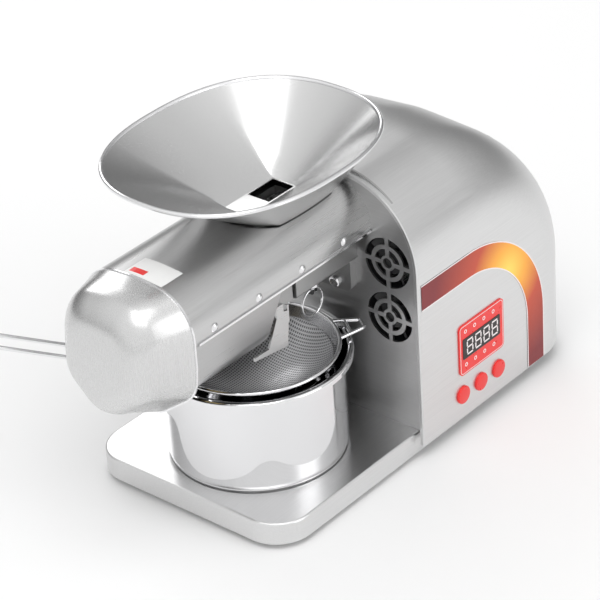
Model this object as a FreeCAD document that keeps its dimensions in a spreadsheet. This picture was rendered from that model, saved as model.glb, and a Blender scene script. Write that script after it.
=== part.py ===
import FreeCAD, Part
import math
import os

import Sketcher
from FreeCAD import Placement, Rotation, Vector

doc = FreeCAD.newDocument("OilPress")

# ---------------------------------------------------------------------------------------------
# Driving dimensions, in millimetres. The frame: +Z up, the table at Z 0, the origin under the
# middle of the base tray, the press barrel pointing along -X, the control side facing -Y.
# ---------------------------------------------------------------------------------------------
DIMENSIONS = {
    # base tray and feet
    "tray_length": 300.0,
    "tray_width": 170.0,
    "tray_height": 16.0,
    "tray_corner": 26.0,
    "tray_sheet": 1.5,
    "tray_edge_round": 1.5,
    "foot_height": 4.25,
    "foot_radius": 8.0,
    "foot_from_end": 28.0,
    "foot_from_side": 13.0,
    # motor hood and front plate
    "hood_half_width": 91.0,
    "hood_crest": 207.0,
    "hood_shoulder": 62.0,
    "hood_back": 161.0,
    "hood_back_arc": 112.0,
    "hood_back_corner": 28.0,
    "hood_bottom": 6.0,
    "hood_sheet": 1.2,
    "hood_lip": 3.5,
    "vent_first": -62.0,
    "vent_pitch": 8.0,
    "vent_width": 3.5,
    "vent_low": 30.0,
    "vent_high": 78.0,
    "bracket_sheet": 1.5,
    "bracket_first": 10.0,
    "bracket_second": 112.0,
    "bracket_length": 20.0,
    "bracket_height": 16.0,
    "bracket_reach": 22.0,
    "small_screw": 1.5,
    "plate_face": -7.0,
    "plate_sheet": 1.5,
    "plate_fit": 0.2,
    "plate_foot": 14.0,
    "grille_offset": 64.0,
    "grille_low": 102.4,
    "grille_high": 143.5,
    "grille_radius": 18.4,
    "grille_rib": 3.2,
    "grille_hub": 3.6,
    # press head: barrel axis, cover, cap, skirt
    "axis_y": -6.0,
    "axis_z": 168.0,
    "head_front": -179.0,
    "cover_half_width": 45.5,
    "cover_crest": 197.8,
    "cover_shoulder": 30.0,
    "cover_sheet": 1.5,
    "cover_edge": 163.5,
    "crown_rise": 1.6,
    "crown_arc": 110.0,
    "flank_top": 166.0,
    "belly_half_width": 36.3,
    "belly_shoulder": 127.5,
    "belly_point": 95.9,
    "belly_round": 20.0,
    "cap_depth": 38.0,
    "cap_taper": 0.72,
    "cap_centre": 171.0,
    "cap_round": 13.0,
    "cap_sheet": 1.5,
    "cap_lap": 7.0,
    "cap_mouth": 24.0,
    "skirt_sheet": 1.5,
    "skirt_gap": 0.3,
    "skirt_tab": 1.2,
    "skirt_slant": 9.0,
    "guide_back": -83.0,
    "guide_tip": 139.0,
    "guide_low": 114.0,
    "guide_front": -118.0,
    "skirt_back": -96.0,
    "skirt_bottom": 121.0,
    "screw_first": -34.5,
    "screw_pitch": 42.0,
    "screw_line": 169.0,
    "screw_head_radius": 3.0,
    # press block, barrel, press screw
    "block_front": -75.0,
    "block_back": -13.0,
    "block_half_width": 38.0,
    "block_top": 192.0,
    "block_round": 12.0,
    "housing_front": -135.0,
    "housing_half_width": 36.0,
    "housing_top": 188.0,
    "housing_wall": 5.0,
    "groove_gap": 1.6,
    "block_bottom": 143.5,
    "flange_half_width": 31.0,
    "flange_bottom": 115.0,
    "flange_top": 190.0,
    "flange_bolt_spread": 18.0,
    "flange_bolt_low": 120.0,
    "flange_bolt_radius": 2.5,
    "barrel_radius": 22.0,
    "barrel_bore": 15.6,
    "barrel_front": -168.0,
    "barrel_back": -20.0,
    "feed_front": -62.0,
    "feed_back": -34.0,
    "feed_half_width": 11.0,
    "slot_front": -130.0,
    "slot_pitch": 3.9,
    "slot_count": 9.0,
    "slot_width": 1.2,
    "notch_reach": 12.0,
    "screw_flight_gap": 0.4,
    "screw_pitch_length": 17.0,
    "screw_root": 9.0,
    "screw_tip_root": 12.0,
    "screw_flight": 3.0,
    "shank_radius": 11.0,
    "tang_across_flats": 14.0,
    "tang_back": 12.0,
    "nut_radius": 26.0,
    "nut_length": 9.0,
    "nut_lap": 2.0,
    "nut_bore": 10.0,
    "heater_radius": 28.0,
    "heater_front": -163.0,
    "heater_length": 25.0,
    "pin_x": -43.5,
    "pin_offset": 23.0,
    "pin_radius": 3.0,
    "pin_tip": 170.0,
    "pin_knob_top": 137.0,
    "pin_knob_radius": 5.5,
    "pin_eye": 130.5,
    "pin_lug": 3.0,
    "ring_radius": 10.2,
    "ring_wire": 0.8,
    "bush_flange": 6.5,
    "bush_radius": 5.0,
    "bush_depth": 7.0,
    # hopper
    "throat_length": 54.0,
    "throat_half_width": 35.5,
    "throat_round": 4.0,
    "throat_gap": 0.4,
    "throat_back": -28.0,
    "neck_length": 30.0,
    "neck_half_width": 12.0,
    "neck_centre": -48.0,
    "neck_bottom": 190.5,
    "hopper_centre": -74.0,
    "hopper_half_length": 94.0,
    "hopper_half_width": 76.0,
    "hopper_top": 246.0,
    "hopper_power": 2.37,
    "hopper_sheet": 1.2,
    "hopper_bead": 1.9,
    # oil cup and strainer
    "cup_x": -78.0,
    "cup_y": -4.0,
    "cup_radius": 61.0,
    "cup_top": 93.0,
    "cup_lip": 67.0,
    "cup_lip_round": 2.2,
    "cup_sheet": 1.0,
    "cup_corner": 5.0,
    "strainer_radius": 58.0,
    "strainer_rim_height": 95.5,
    "strainer_wire": 1.4,
    "strainer_band": 8.0,
    "strainer_depth": 36.0,
    "mesh_sheet": 0.8,
    "handle_spread": 8.25,
    "handle_reach": 205.0,
    "handle_rise": 0.40,
    "handle_heading": 145.0,
    "ear_reach": 76.0,
    # gear train and motor
    "case_half_width": 34.0,
    "case_wall": 4.0,
    "case_low_centre": 126.0,
    "case_split": 16.0,
    "case_back": 33.0,
    "pinion_clear": 8.0,
    "low_module": 1.25,
    "high_module": 0.8,
    "output_teeth": 44.0,
    "drive_teeth": 12.0,
    "wheel_teeth": 60.0,
    "pinion_teeth": 12.0,
    "low_face": 12.0,
    "high_face": 8.0,
    "backlash": 0.12,
    "output_shaft_radius": 13.0,
    "output_stub_radius": 6.0,
    "middle_shaft_radius": 4.0,
    "motor_shaft_radius": 2.5,
    "motor_radius": 34.0,
    "motor_wall": 2.0,
    "motor_length": 84.0,
    "bell_length": 12.0,
    # fans
    "fan_size": 40.0,
    "fan_depth": 10.0,
    "fan_bore": 18.8,
    "fan_tip": 18.0,
    "fan_hub": 9.0,
    # controls
    "panel_front": 38.0,
    "panel_back": 89.0,
    "panel_low": 38.5,
    "panel_high": 76.0,
    "panel_corner": 3.5,
    "panel_sheet": 0.8,
    "window_front": 42.4,
    "window_back": 83.9,
    "window_low": 50.7,
    "window_high": 67.9,
    "window_fit": 0.5,
    "board_depth": 6.6,
    "button_first": 41.0,
    "button_pitch": 20.0,
    "button_height": 23.2,
    "button_radius": 6.6,
    "button_proud": 1.3,
    "button_travel": 0.8,
    "band_outer": 129.0,
    "band_width": 19.0,
    "band_back": 131.0,
    "band_front": 1.0,
    "band_arc": 77.0,
    "band_sheet": 0.3,
    # back wall
    "inlet_y": 42.0,
    "inlet_z": 46.0,
    "inlet_width": 28.0,
    "inlet_height": 21.0,
    "inlet_rim": 4.0,
    "inlet_depth": 20.0,
    "switch_y": 8.0,
    "switch_width": 13.0,
    "switch_height": 19.0,
    # fits
    "running_fit": 0.05,
    "seat_gap": 0.3,
}


class Size:
    """A length that carries its value and the spreadsheet rule that gives it."""

    def __init__(self, value, rule):
        self.value = float(value)
        self.rule = rule

    @staticmethod
    def of(other):
        return other if isinstance(other, Size) else Size(other, repr(float(other)))

    def joined(self, other, sign, value):
        return Size(value, "(%s %s %s)" % (self.rule, sign, other.rule))

    def __add__(self, other):
        other = Size.of(other)
        return self.joined(other, "+", self.value + other.value)

    def __sub__(self, other):
        other = Size.of(other)
        return self.joined(other, "-", self.value - other.value)

    def __mul__(self, other):
        other = Size.of(other)
        return self.joined(other, "*", self.value * other.value)

    def __truediv__(self, other):
        other = Size.of(other)
        return self.joined(other, "/", self.value / other.value)

    def __radd__(self, other):
        return Size.of(other) + self

    def __rsub__(self, other):
        return Size.of(other) - self

    def __rmul__(self, other):
        return Size.of(other) * self

    def __neg__(self):
        return Size(-self.value, "(-1 * %s)" % self.rule)

    def __float__(self):
        return self.value


class Sheet:
    """The spreadsheet of driving dimensions; each alias reads as a Size."""

    def __init__(self, rows):
        self.rows = rows
        self.page = doc.addObject("Spreadsheet::Sheet", "Sizes")
        for row, (alias, number) in enumerate(rows.items(), start=1):
            self.page.set("A%d" % row, alias)
            self.page.set("B%d" % row, str(number))
            self.page.setAlias("B%d" % row, alias)

    def __getattr__(self, alias):
        return Size(self.rows[alias], "Sizes." + alias)


s = Sheet(DIMENSIONS)
doc.recompute()
TINY = 1e-3
RIM_POINTS = 48
RIM_FLAT = 3


# ---------------------------------------------------------------------------------------------
# Bodies built from sketches
# ---------------------------------------------------------------------------------------------
class Body:
    """A PartDesign body; sketches lie square to one axis and every size follows the sheet."""

    NORMALS = {"XY": 1, "XZ": -1, "YZ": 1}

    def __init__(self, label, at=(0, 0, 0)):
        self.label = label
        self.item = doc.addObject("PartDesign::Body", label)
        self.item.Label = label
        for letter, place in zip("xyz", at):
            self.item.setExpression("Placement.Base." + letter, Size.of(place).rule)
        self.count = 0

    def name(self, kind):
        self.count += 1
        return "%s_%s%d" % (self.label, kind, self.count)

    def sketch(self, plane, level, loops, shift=(0, 0)):
        """A sketch on the plane moved to a level along its axis, with its origin at a shift."""
        item = self.item.newObject("Sketcher::SketchObject", self.name("sketch"))
        origin = next(f for f in self.item.Origin.OriginFeatures if f.Role == plane + "_Plane")
        item.AttachmentSupport = (origin, [""])
        item.MapMode = "FlatFace"
        item.setExpression("AttachmentOffset.Base.x", Size.of(shift[0]).rule)
        item.setExpression("AttachmentOffset.Base.y", Size.of(shift[1]).rule)
        offset = Size.of(level) * self.NORMALS[plane]
        item.setExpression("AttachmentOffset.Base.z", offset.rule)
        for loop in loops:
            if loop[0] == "circle":
                self.circle(item, *loop[1:])
            elif loop[0] == "box":
                x0, y0, x1, y1 = loop[1:]
                self.polygon(item, [(x0, y0), (x1, y0), (x1, y1), (x0, y1)])
            else:
                self.polygon(item, loop[1])
        return item

    def bind(self, sketch, kind, values, size):
        index = sketch.addConstraint(Sketcher.Constraint(kind, *values, float(size)))
        name = "size%d" % index
        sketch.renameConstraint(index, name)
        sketch.setExpression("Constraints." + name, size.rule)

    def circle(self, sketch, x, y, radius):
        x, y, radius = Size.of(x), Size.of(y), Size.of(radius)
        centre = Vector(float(x), float(y), 0)
        index = sketch.addGeometry(Part.Circle(centre, Vector(0, 0, 1), float(radius)))
        self.bind(sketch, "DistanceX", (-1, 1, index, 3), x)
        self.bind(sketch, "DistanceY", (-1, 1, index, 3), y)
        self.bind(sketch, "Radius", (index,), radius)

    def polygon(self, sketch, points):
        points = [(Size.of(x), Size.of(y)) for x, y in points]
        places = [Vector(float(x), float(y), 0) for x, y in points]
        first = sketch.GeometryCount
        count = len(points)
        for i in range(count):
            sketch.addGeometry(Part.LineSegment(places[i], places[(i + 1) % count]))
        for i in range(count):
            after = first + (i + 1) % count
            sketch.addConstraint(Sketcher.Constraint("Coincident", first + i, 2, after, 1))
        for i, (x, y) in enumerate(points):
            self.bind(sketch, "DistanceX", (-1, 1, first + i, 1), x)
            self.bind(sketch, "DistanceY", (-1, 1, first + i, 1), y)

    def feature(self, kind, sketch):
        item = self.item.newObject("PartDesign::" + kind, self.name(kind.lower()))
        item.Profile = sketch
        sketch.Visibility = False
        return item

    def pad(self, plane, start, end, loops, shift=(0, 0)):
        """Material between two levels along the plane's axis."""
        item = self.feature("Pad", self.sketch(plane, start, loops, shift))
        item.setExpression("Length", (Size.of(end) - start).rule)
        item.Reversed = plane == "XZ"
        doc.recompute()
        return self

    def cut(self, plane, start, end, loops, shift=(0, 0)):
        """A pocket between two levels along the plane's axis."""
        before = self.item.Shape.Volume
        item = self.feature("Pocket", self.sketch(plane, start, loops, shift))
        item.setExpression("Length", (Size.of(end) - start).rule)
        item.Reversed = plane != "XZ"
        doc.recompute()
        if self.item.Shape.Volume > before - TINY:
            raise RuntimeError("a pocket of %s cuts nothing" % self.label)
        return self

    def turn(self, points, axis="H_Axis", shift=(0, 0), kind="Revolution"):
        """A profile in the XZ plane turned about the sketch's own axis."""
        sketch = self.sketch("XZ", 0, [("polygon", points)], shift)
        item = self.feature(kind, sketch)
        item.ReferenceAxis = (sketch, [axis])
        item.Angle = 360
        doc.recompute()
        return self

    def round(self, radius, chosen, kind="Fillet"):
        """A fillet or chamfer on every edge that the test picks by its two ends and middle."""
        base = self.item.Tip
        names = []
        for i, edge in enumerate(base.Shape.Edges, start=1):
            ends = [v.Point for v in edge.Vertexes]
            middle = edge.valueAt((edge.FirstParameter + edge.LastParameter) / 2)
            if chosen(ends + [middle]):
                names.append("Edge%d" % i)
        if not names:
            raise RuntimeError("no edge of %s to round" % self.label)
        item = self.item.newObject("PartDesign::" + kind, self.name(kind.lower()))
        item.Base = (base, names)
        item.setExpression("Radius" if kind == "Fillet" else "Size", Size.of(radius).rule)
        doc.recompute()
        return self


def along(axis, *others):
    """Picks edges that run along one axis, at the given places on the other axes if any."""
    letter = "xyz".index(axis)

    def chosen(points):
        for k in range(3):
            if k != letter and max(p[k] for p in points) - min(p[k] for p in points) > TINY:
                return False
        return all(test(points[-1]) for test in others)

    return chosen


def at_level(axis, level):
    """Picks edges that lie wholly at one level of an axis."""
    letter = "xyz".index(axis)
    return lambda points: all(abs(p[letter] - float(level)) < TINY for p in points)


# ---------------------------------------------------------------------------------------------
# Free shapes: rounded outlines, shells, gears, helices and wires
# ---------------------------------------------------------------------------------------------
def feature(label, shape, at=(0, 0, 0)):
    """A sub-part whose shape is computed here from the sheet's sizes."""
    item = doc.addObject("Part::Feature", label)
    item.Label = label
    item.Shape = shape
    item.Placement = Placement(Vector(*[float(c) for c in at]), Rotation()).multiply(shape.Placement)
    return item


def inset(corners, depth):
    """Moves every side of a convex outline of (x, y, corner radius) inwards."""
    count = len(corners)
    lines = []
    for i in range(count):
        x0, y0, _ = corners[i]
        x1, y1, _ = corners[(i + 1) % count]
        length = math.hypot(x1 - x0, y1 - y0)
        nx, ny = -(y1 - y0) / length, (x1 - x0) / length
        lines.append((nx, ny, nx * x0 + ny * y0 + depth))
    moved = []
    for i in range(count):
        a0, b0, c0 = lines[i - 1]
        a1, b1, c1 = lines[i]
        cross = a0 * b1 - a1 * b0
        x, y = (c0 * b1 - c1 * b0) / cross, (a0 * c1 - a1 * c0) / cross
        moved.append((x, y, max(corners[i][2] - depth, 0.0)))
    return moved


def outline(corners, place):
    """A closed wire through counter-clockwise (x, y, radius) corners; place maps it to space."""
    count = len(corners)
    spans = []
    for i in range(count):
        x, y, radius = corners[i]
        before = Vector(corners[i - 1][0] - x, corners[i - 1][1] - y, 0).normalize()
        after = Vector(corners[(i + 1) % count][0] - x, corners[(i + 1) % count][1] - y, 0).normalize()
        here = Vector(x, y, 0)
        half = before.getAngle(after) / 2
        if radius < TINY:
            spans.append((here, here, here))
            continue
        reach = radius / math.tan(half)
        middle = (before + after).normalize() * (radius / math.sin(half) - radius)
        spans.append((here + before * reach, here + middle, here + after * reach))
    edges = []
    for i in range(count):
        start, middle, end = [place(p) for p in spans[i]]
        if start.distanceToPoint(end) > TINY:
            edges.append(Part.Arc(start, middle, end).toShape())
        onward = place(spans[(i + 1) % count][0])
        if end.distanceToPoint(onward) > TINY:
            edges.append(Part.LineSegment(end, onward).toShape())
    return Part.Wire(edges)


def prism(corners, axis, start, end):
    """A solid with a rounded outline, drawn in the two other axes, between two levels."""
    start, end = float(start), float(end)
    place = {
        "x": lambda p: Vector(start, p.x, p.y),
        "y": lambda p: Vector(p.x, start, p.y),
        "z": lambda p: Vector(p.x, p.y, start),
    }[axis]
    reach = {"x": Vector(1, 0, 0), "y": Vector(0, 1, 0), "z": Vector(0, 0, 1)}[axis]
    return Part.Face(outline(corners, place)).extrude(reach * (end - start))


def block(x0, y0, z0, x1, y1, z1):
    """A box between two opposite corners."""
    x0, y0, z0, x1, y1, z1 = [float(c) for c in (x0, y0, z0, x1, y1, z1)]
    return Part.makeBox(x1 - x0, y1 - y0, z1 - z0, Vector(x0, y0, z0))


def rod(radius, start, end):
    """A round rod between two points."""
    start, end = Vector(*[float(c) for c in start]), Vector(*[float(c) for c in end])
    return Part.makeCylinder(float(radius), (end - start).Length, start, end - start)


def bent_wire(points, bend, radius, closed=False):
    """A round wire along a path of points whose corners are bent to a radius."""
    count = len(points)
    edges = []
    spans = []
    for i, here in enumerate(points):
        if not closed and i in (0, count - 1):
            spans.append((here, here, here))
            continue
        before = (points[i - 1] - here).normalize()
        after = (points[(i + 1) % count] - here).normalize()
        half = before.getAngle(after) / 2
        reach = bend / math.tan(half)
        middle = (before + after).normalize() * (bend / math.sin(half) - bend)
        spans.append((here + before * reach, here + middle, here + after * reach))
    for i in range(count):
        start, middle, end = spans[i]
        if start.distanceToPoint(end) > TINY:
            edges.append(Part.Arc(start, middle, end).toShape())
        if closed or i < count - 1:
            onward = spans[(i + 1) % count][0]
            if end.distanceToPoint(onward) > TINY:
                edges.append(Part.LineSegment(end, onward).toShape())
    path = Part.Wire(edges)
    first = path.OrderedEdges[0]
    start, heading = first.valueAt(first.FirstParameter), first.tangentAt(first.FirstParameter)
    ring = Part.Wire(Part.makeCircle(radius, start, heading))
    return path.makePipeShell([ring], True, False)


def gear(teeth, module, width, thinned):
    """A spur gear with involute flanks of 20 degrees, standing on the YZ plane about +X."""
    teeth = int(round(float(teeth)))
    module, width, thinned = float(module), float(width), float(thinned)
    pitch = module * teeth / 2
    base = pitch * math.cos(math.radians(20))
    tip, root = pitch + module, pitch - 1.25 * module
    start = max(base, root)
    flat = math.tan(math.radians(20)) - math.radians(20)
    half = (math.pi * module / 2 - thinned) / (2 * pitch)

    def flank(radius):
        roll = math.sqrt(max((radius / base) ** 2 - 1, 0))
        return half + flat - (roll - math.atan(roll))

    def point(radius, angle):
        return Vector(0, radius * math.sin(angle), radius * math.cos(angle))

    radii = [start + (tip - start) * k / 4 for k in range(5)]
    edges = []
    for tooth in range(teeth):
        turn = 2 * math.pi * tooth / teeth
        onward = turn + 2 * math.pi / teeth
        up = [point(r, turn - flank(r)) for r in radii]
        down = [point(r, turn + flank(r)) for r in reversed(radii)]
        foot = point(root, onward - flank(start))
        heel = point(root, turn + flank(start))
        if start > root + TINY:
            edges.append(Part.LineSegment(point(root, turn - flank(start)), up[0]).toShape())
        for side in (up, down):
            curve = Part.BSplineCurve()
            curve.interpolate(side)
            edges.append(curve.toShape())
            if side is up:
                edges.append(Part.Arc(up[-1], point(tip, turn), down[0]).toShape())
        if start > root + TINY:
            edges.append(Part.LineSegment(down[-1], heel).toShape())
        middle = point(root, (turn + onward) / 2)
        edges.append(Part.Arc(heel, middle, foot).toShape())
    return Part.Face(Part.Wire(edges)).extrude(Vector(width, 0, 0))


# ---------------------------------------------------------------------------------------------
# Base: a pressed tray closed by a bottom plate on four rubber feet
# ---------------------------------------------------------------------------------------------
half_length = s.tray_length / 2
half_width = s.tray_width / 2
tray_top = s.foot_height + s.tray_height
plate_top = s.foot_height + s.tray_sheet

bottom = Body("base_plate")
bottom.pad("XY", s.foot_height, plate_top, [("box", -half_length, -half_width, half_length, half_width)])
bottom.round(s.tray_corner, along("z"))

inner_length = half_length - s.tray_sheet
inner_width = half_width - s.tray_sheet
hollow = [("box", -inner_length, -inner_width, inner_length, inner_width)]
tray = Body("base_tray")
tray.pad("XY", plate_top, tray_top, [("box", -half_length, -half_width, half_length, half_width)])
tray.cut("XY", plate_top, tray_top - s.tray_sheet, hollow)
tray.round(s.tray_corner, along("z", lambda p: abs(p.x) > float(inner_length) + TINY))
tray.round(s.tray_corner - s.tray_sheet, along("z", lambda p: abs(p.y) < float(half_width - s.tray_corner) + 30
                                               and abs(p.z - float(plate_top + tray_top - s.tray_sheet) / 2) < TINY
                                               and abs(abs(p.x) - float(inner_length)) < TINY))
tray.round(s.tray_edge_round, at_level("z", tray_top))

foot_x = half_length - s.foot_from_end
foot_y = half_width - s.foot_from_side
feet = Body("rubber_feet")
spots = [(a * foot_x, b * foot_y) for a in (-1, 1) for b in (-1, 1)]
feet.pad("XY", 0, s.foot_height, [("circle", x, y, s.foot_radius) for x, y in spots])
feet.round(0.8, at_level("z", 0))


# ---------------------------------------------------------------------------------------------
# Motor hood: an arch that turns down over the back, its shoulder radius easing into the corner
# ---------------------------------------------------------------------------------------------
def arch(depth, bottom):
    """The hood's front outline (y, z), moved inwards by a sheet thickness or clearance."""
    wide, high = float(s.hood_half_width) - depth, float(s.hood_crest) - depth
    shoulder = float(s.hood_shoulder) - depth
    return [(-wide, bottom, 0), (wide, bottom, 0), (wide, high, shoulder), (-wide, high, shoulder)]


def hood_body(depth, front, bottom):
    """The hood's filled form, all faces moved inwards by a depth."""
    wide = float(s.hood_half_width) - depth
    radius = float(s.hood_back_arc) - depth
    axis_x = float(s.hood_back - s.hood_back_arc)
    axis_z = float(s.hood_crest - s.hood_back_arc)
    back = float(s.hood_back) - depth
    corner = float(s.hood_back_corner) - depth
    shoulder = float(s.hood_shoulder) - depth
    core = radius / 8
    sections = []
    steps = 10
    for k in range(steps + 1):
        turn = math.pi / 2 * k / steps
        ease = k / steps
        ease = ease * ease * (3 - 2 * ease)
        bend = shoulder + (corner - shoulder) * ease
        across = [(-wide, core, 0), (wide, core, 0), (wide, radius, bend), (-wide, radius, bend)]
        sections.append(
            outline(across, lambda p: Vector(axis_x + p.y * math.sin(turn), p.x,
                                             axis_z + p.y * math.cos(turn)))
        )
    dome = Part.makeLoft(sections, True, False)
    middle = Part.makeCylinder(core * 1.01, 2 * wide, Vector(axis_x, -wide, axis_z), Vector(0, 1, 0))
    tunnel = prism(arch(depth, bottom), "x", front, axis_x)
    plan = [(axis_x, -wide, 0), (back, -wide, corner), (back, wide, corner), (axis_x, wide, 0)]
    rear = prism(plan, "z", bottom, axis_z)
    return tunnel.fuse([rear, middle, dome]).removeSplitter()


hood_front = s.plate_face - s.hood_lip
side = -s.hood_half_width
hood_shape = hood_body(0, float(hood_front), float(s.hood_bottom))
hood_shape = hood_shape.cut(hood_body(float(s.hood_sheet), float(hood_front) - 1, float(s.hood_bottom) - 1))
button_spots = [s.button_first + s.button_pitch * k for k in range(3)]
button_hole = s.button_radius + s.seat_gap
through_side = [(x, side - 1, s.button_height, x, side + 4, s.button_height) for x in button_spots]
cutters = [rod(button_hole, c[:3], c[3:]) for c in through_side]
cutters.append(block(s.window_front, side - 1, s.window_low, s.window_back, side + 4, s.window_high))
wall_in = s.hood_back - 4
wall_out = s.hood_back + 1
inlet_half = (s.inlet_width / 2, s.inlet_height / 2)
switch_half = (s.switch_width / 2, s.switch_height / 2)
cutters.append(block(wall_in, s.inlet_y - inlet_half[0], s.inlet_z - inlet_half[1],
                     wall_out, s.inlet_y + inlet_half[0], s.inlet_z + inlet_half[1]))
cutters.append(block(wall_in, s.switch_y - switch_half[0], s.inlet_z - switch_half[1],
                     wall_out, s.switch_y + switch_half[0], s.inlet_z + switch_half[1]))
for k in range(6):
    slot = s.vent_first + s.vent_pitch * k
    cutters.append(block(wall_in, slot, s.vent_low, wall_out, slot + s.vent_width, s.vent_high))
screw_z = tray_top + s.bracket_height / 2
for start in (s.bracket_first, s.bracket_second):
    middle = start + s.bracket_length / 2
    cutters.append(rod(s.small_screw, (middle, -side - 3, screw_z), (middle, -side + 3, screw_z)))
feature("hood", hood_shape.cut(cutters))

# Front plate inside the hood's mouth, with a foot folded back over the tray
plate_back = s.plate_face + s.plate_sheet
plate_depth = float(s.hood_sheet + s.plate_fit)
plate_shape = prism(arch(plate_depth, float(tray_top + s.plate_fit)), "x", s.plate_face, plate_back)
foot_fold = float(s.hood_half_width) - plate_depth - 12
plate_shape = plate_shape.fuse(
    block(s.plate_face, -foot_fold, tray_top, s.plate_face + s.plate_foot, foot_fold, tray_top + s.plate_sheet)
)
grille_y = -s.grille_offset
grille_heights = [s.grille_low, s.grille_high]


def grille(height):
    """The holes of one punched round grille: a hub hole inside two rings of four slots."""
    y, x0, x1 = float(grille_y), float(s.plate_face) - 1, float(plate_back) + 1
    z = float(height)
    rib = float(s.grille_rib)
    outer = float(s.grille_radius)
    hub = float(s.grille_hub)
    ring = (outer - hub) / 3
    cross = [
        block(x0, y - outer, z - rib / 2, x1, y + outer, z + rib / 2),
        block(x0, y - rib / 2, z - outer, x1, y + rib / 2, z + outer),
    ]
    holes = [rod(hub, (x0, y, z), (x1, y, z))]
    for inner, wide in ((hub + 2, hub + ring + 1.8), (outer - ring, outer)):
        band = rod(wide, (x0, y, z), (x1, y, z)).cut(rod(inner, (x0, y, z), (x1, y, z)))
        holes += band.cut(cross).Solids
    return holes


axis_y, axis_z = s.axis_y, s.axis_z
bolt_y = [axis_y - s.flange_bolt_spread, axis_y + s.flange_bolt_spread]
bolt_spots = [(y, s.flange_bolt_low) for y in bolt_y]
plate_holes = grille(s.grille_low) + grille(s.grille_high)
plate_holes.append(rod(s.output_shaft_radius + 2, (s.plate_face - 1, axis_y, axis_z), (plate_back + 1, axis_y, axis_z)))
for y, z in bolt_spots:
    plate_holes.append(rod(s.flange_bolt_radius, (s.plate_face - 1, y, z), (plate_back + 1, y, z)))
feature("front_plate", plate_shape.cut(plate_holes))

# Angle brackets on the tray that the hood is screwed to
inside = s.hood_half_width - s.hood_sheet
brackets = Body("hood_brackets")
leg = s.bracket_sheet
for sign in (-1, 1):
    for start in (s.bracket_first, s.bracket_second):
        end = start + s.bracket_length
        brackets.pad("YZ", start, end, [("polygon", [
            (sign * (inside - s.bracket_reach), tray_top), (sign * inside, tray_top),
            (sign * inside, tray_top + s.bracket_height),
            (sign * (inside - leg), tray_top + s.bracket_height),
            (sign * (inside - leg), tray_top + leg), (sign * (inside - s.bracket_reach), tray_top + leg)])])
case_screws = Body("hood_screws")
for start in (s.bracket_first, s.bracket_second):
    middle = start + s.bracket_length / 2
    brackets.cut("XZ", inside - leg - 1, inside + 1, [("circle", middle, screw_z, s.small_screw)])
    case_screws.pad("XZ", inside - leg, s.hood_half_width, [("circle", middle, screw_z, s.small_screw)])
    case_screws.pad("XZ", s.hood_half_width, s.hood_half_width + 1.5, [("circle", middle, screw_z, s.screw_head_radius)])


# ---------------------------------------------------------------------------------------------
# Controls: label, display, board, three push buttons, coloured band
# ---------------------------------------------------------------------------------------------
face = side - s.panel_sheet
panel = Body("control_panel")
panel.pad("XZ", face, side, [("box", s.panel_front, s.panel_low, s.panel_back, s.panel_high)])
panel.round(s.panel_corner, along("y"))
panel.cut("XZ", face, side, [("box", s.window_front, s.window_low, s.window_back, s.window_high)])

lens = s.window_fit
board_face = side + s.board_depth
display = Body("display_module")
display.pad("XZ", face + lens, board_face, [("box", s.window_front + lens, s.window_low + lens,
                                             s.window_back - lens, s.window_high - lens)])
board = Body("control_board")
board.pad("XZ", board_face, board_face + s.bracket_sheet,
          [("box", s.button_first - 6, tray_top + lens, button_spots[2] + 12, s.panel_high + 2)])
stem_end = side + s.hood_sheet + 2.5
board.pad("XZ", stem_end + s.button_travel + 0.1, board_face,
          [("box", x - 2.8, s.button_height - 2.8, x + 2.8, s.button_height + 2.8) for x in button_spots])
for number, x in enumerate(button_spots, start=1):
    cap = Body("button_%d" % number, (x, side, s.button_height))
    inner = s.hood_sheet + 0.1
    cap.pad("XZ", -s.button_proud, inner, [("circle", 0, 0, s.button_radius)])
    cap.round(0.6, at_level("y", -s.button_proud))
    cap.pad("XZ", inner, inner + 1, [("circle", 0, 0, s.button_radius + 0.9)])
    cap.pad("XZ", inner + 1, s.hood_sheet + 2.5, [("circle", 0, 0, 2)])

band_level = float(side - s.band_sheet)
outer_band = [(float(s.band_front), float(s.band_outer), 0), (float(s.band_front), float(s.hood_bottom) + 0.5, 0),
              (float(s.band_back), float(s.hood_bottom) + 0.5, 0),
              (float(s.band_back), float(s.band_outer), float(s.band_arc))]
band_shape = prism(outer_band, "y", band_level, side)
inner_back = float(s.band_back - s.band_width)
inner_high = float(s.band_outer - s.band_width)
inner_band = [(float(s.band_front) - 1, inner_high, 0), (float(s.band_front) - 1, 0, 0),
              (inner_back, 0, 0), (inner_back, inner_high, float(s.band_arc - s.band_width))]
feature("colour_band", band_shape.cut(prism(inner_band, "y", band_level - 1, side + 1)))


# ---------------------------------------------------------------------------------------------
# Press head: cover, end cap, chute sides, drip guide
# ---------------------------------------------------------------------------------------------
def head_section(depth, floor=None):
    """The head's outline about its axis (y, z); with a floor, only the part above it."""
    wide, crest = float(s.cover_half_width), float(s.cover_crest)
    shoulder, rise = float(s.cover_shoulder), float(s.crown_rise)
    top = [(wide, crest - rise, shoulder), (0, crest + rise, float(s.crown_arc)), (-wide, crest - rise, shoulder)]
    if floor is not None:
        return inset([(-wide, floor, 0), (wide, floor, 0)] + top, depth)
    belly = (float(s.belly_half_width), float(s.belly_shoulder), float(s.belly_round))
    corners = [(0, float(s.belly_point), float(s.belly_round)), belly, (wide, float(s.flank_top), 0)] + top
    corners += [(-wide, float(s.flank_top), 0), (-belly[0], belly[1], belly[2])]
    return inset(corners, depth)


def head_place(x, scale=1.0, centre=0.0):
    """Maps a section about the head's axis to the plane at x, scaled about a height."""
    return lambda p: Vector(x, float(axis_y) + p.x * scale, centre + (p.y - centre) * scale)


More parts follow.
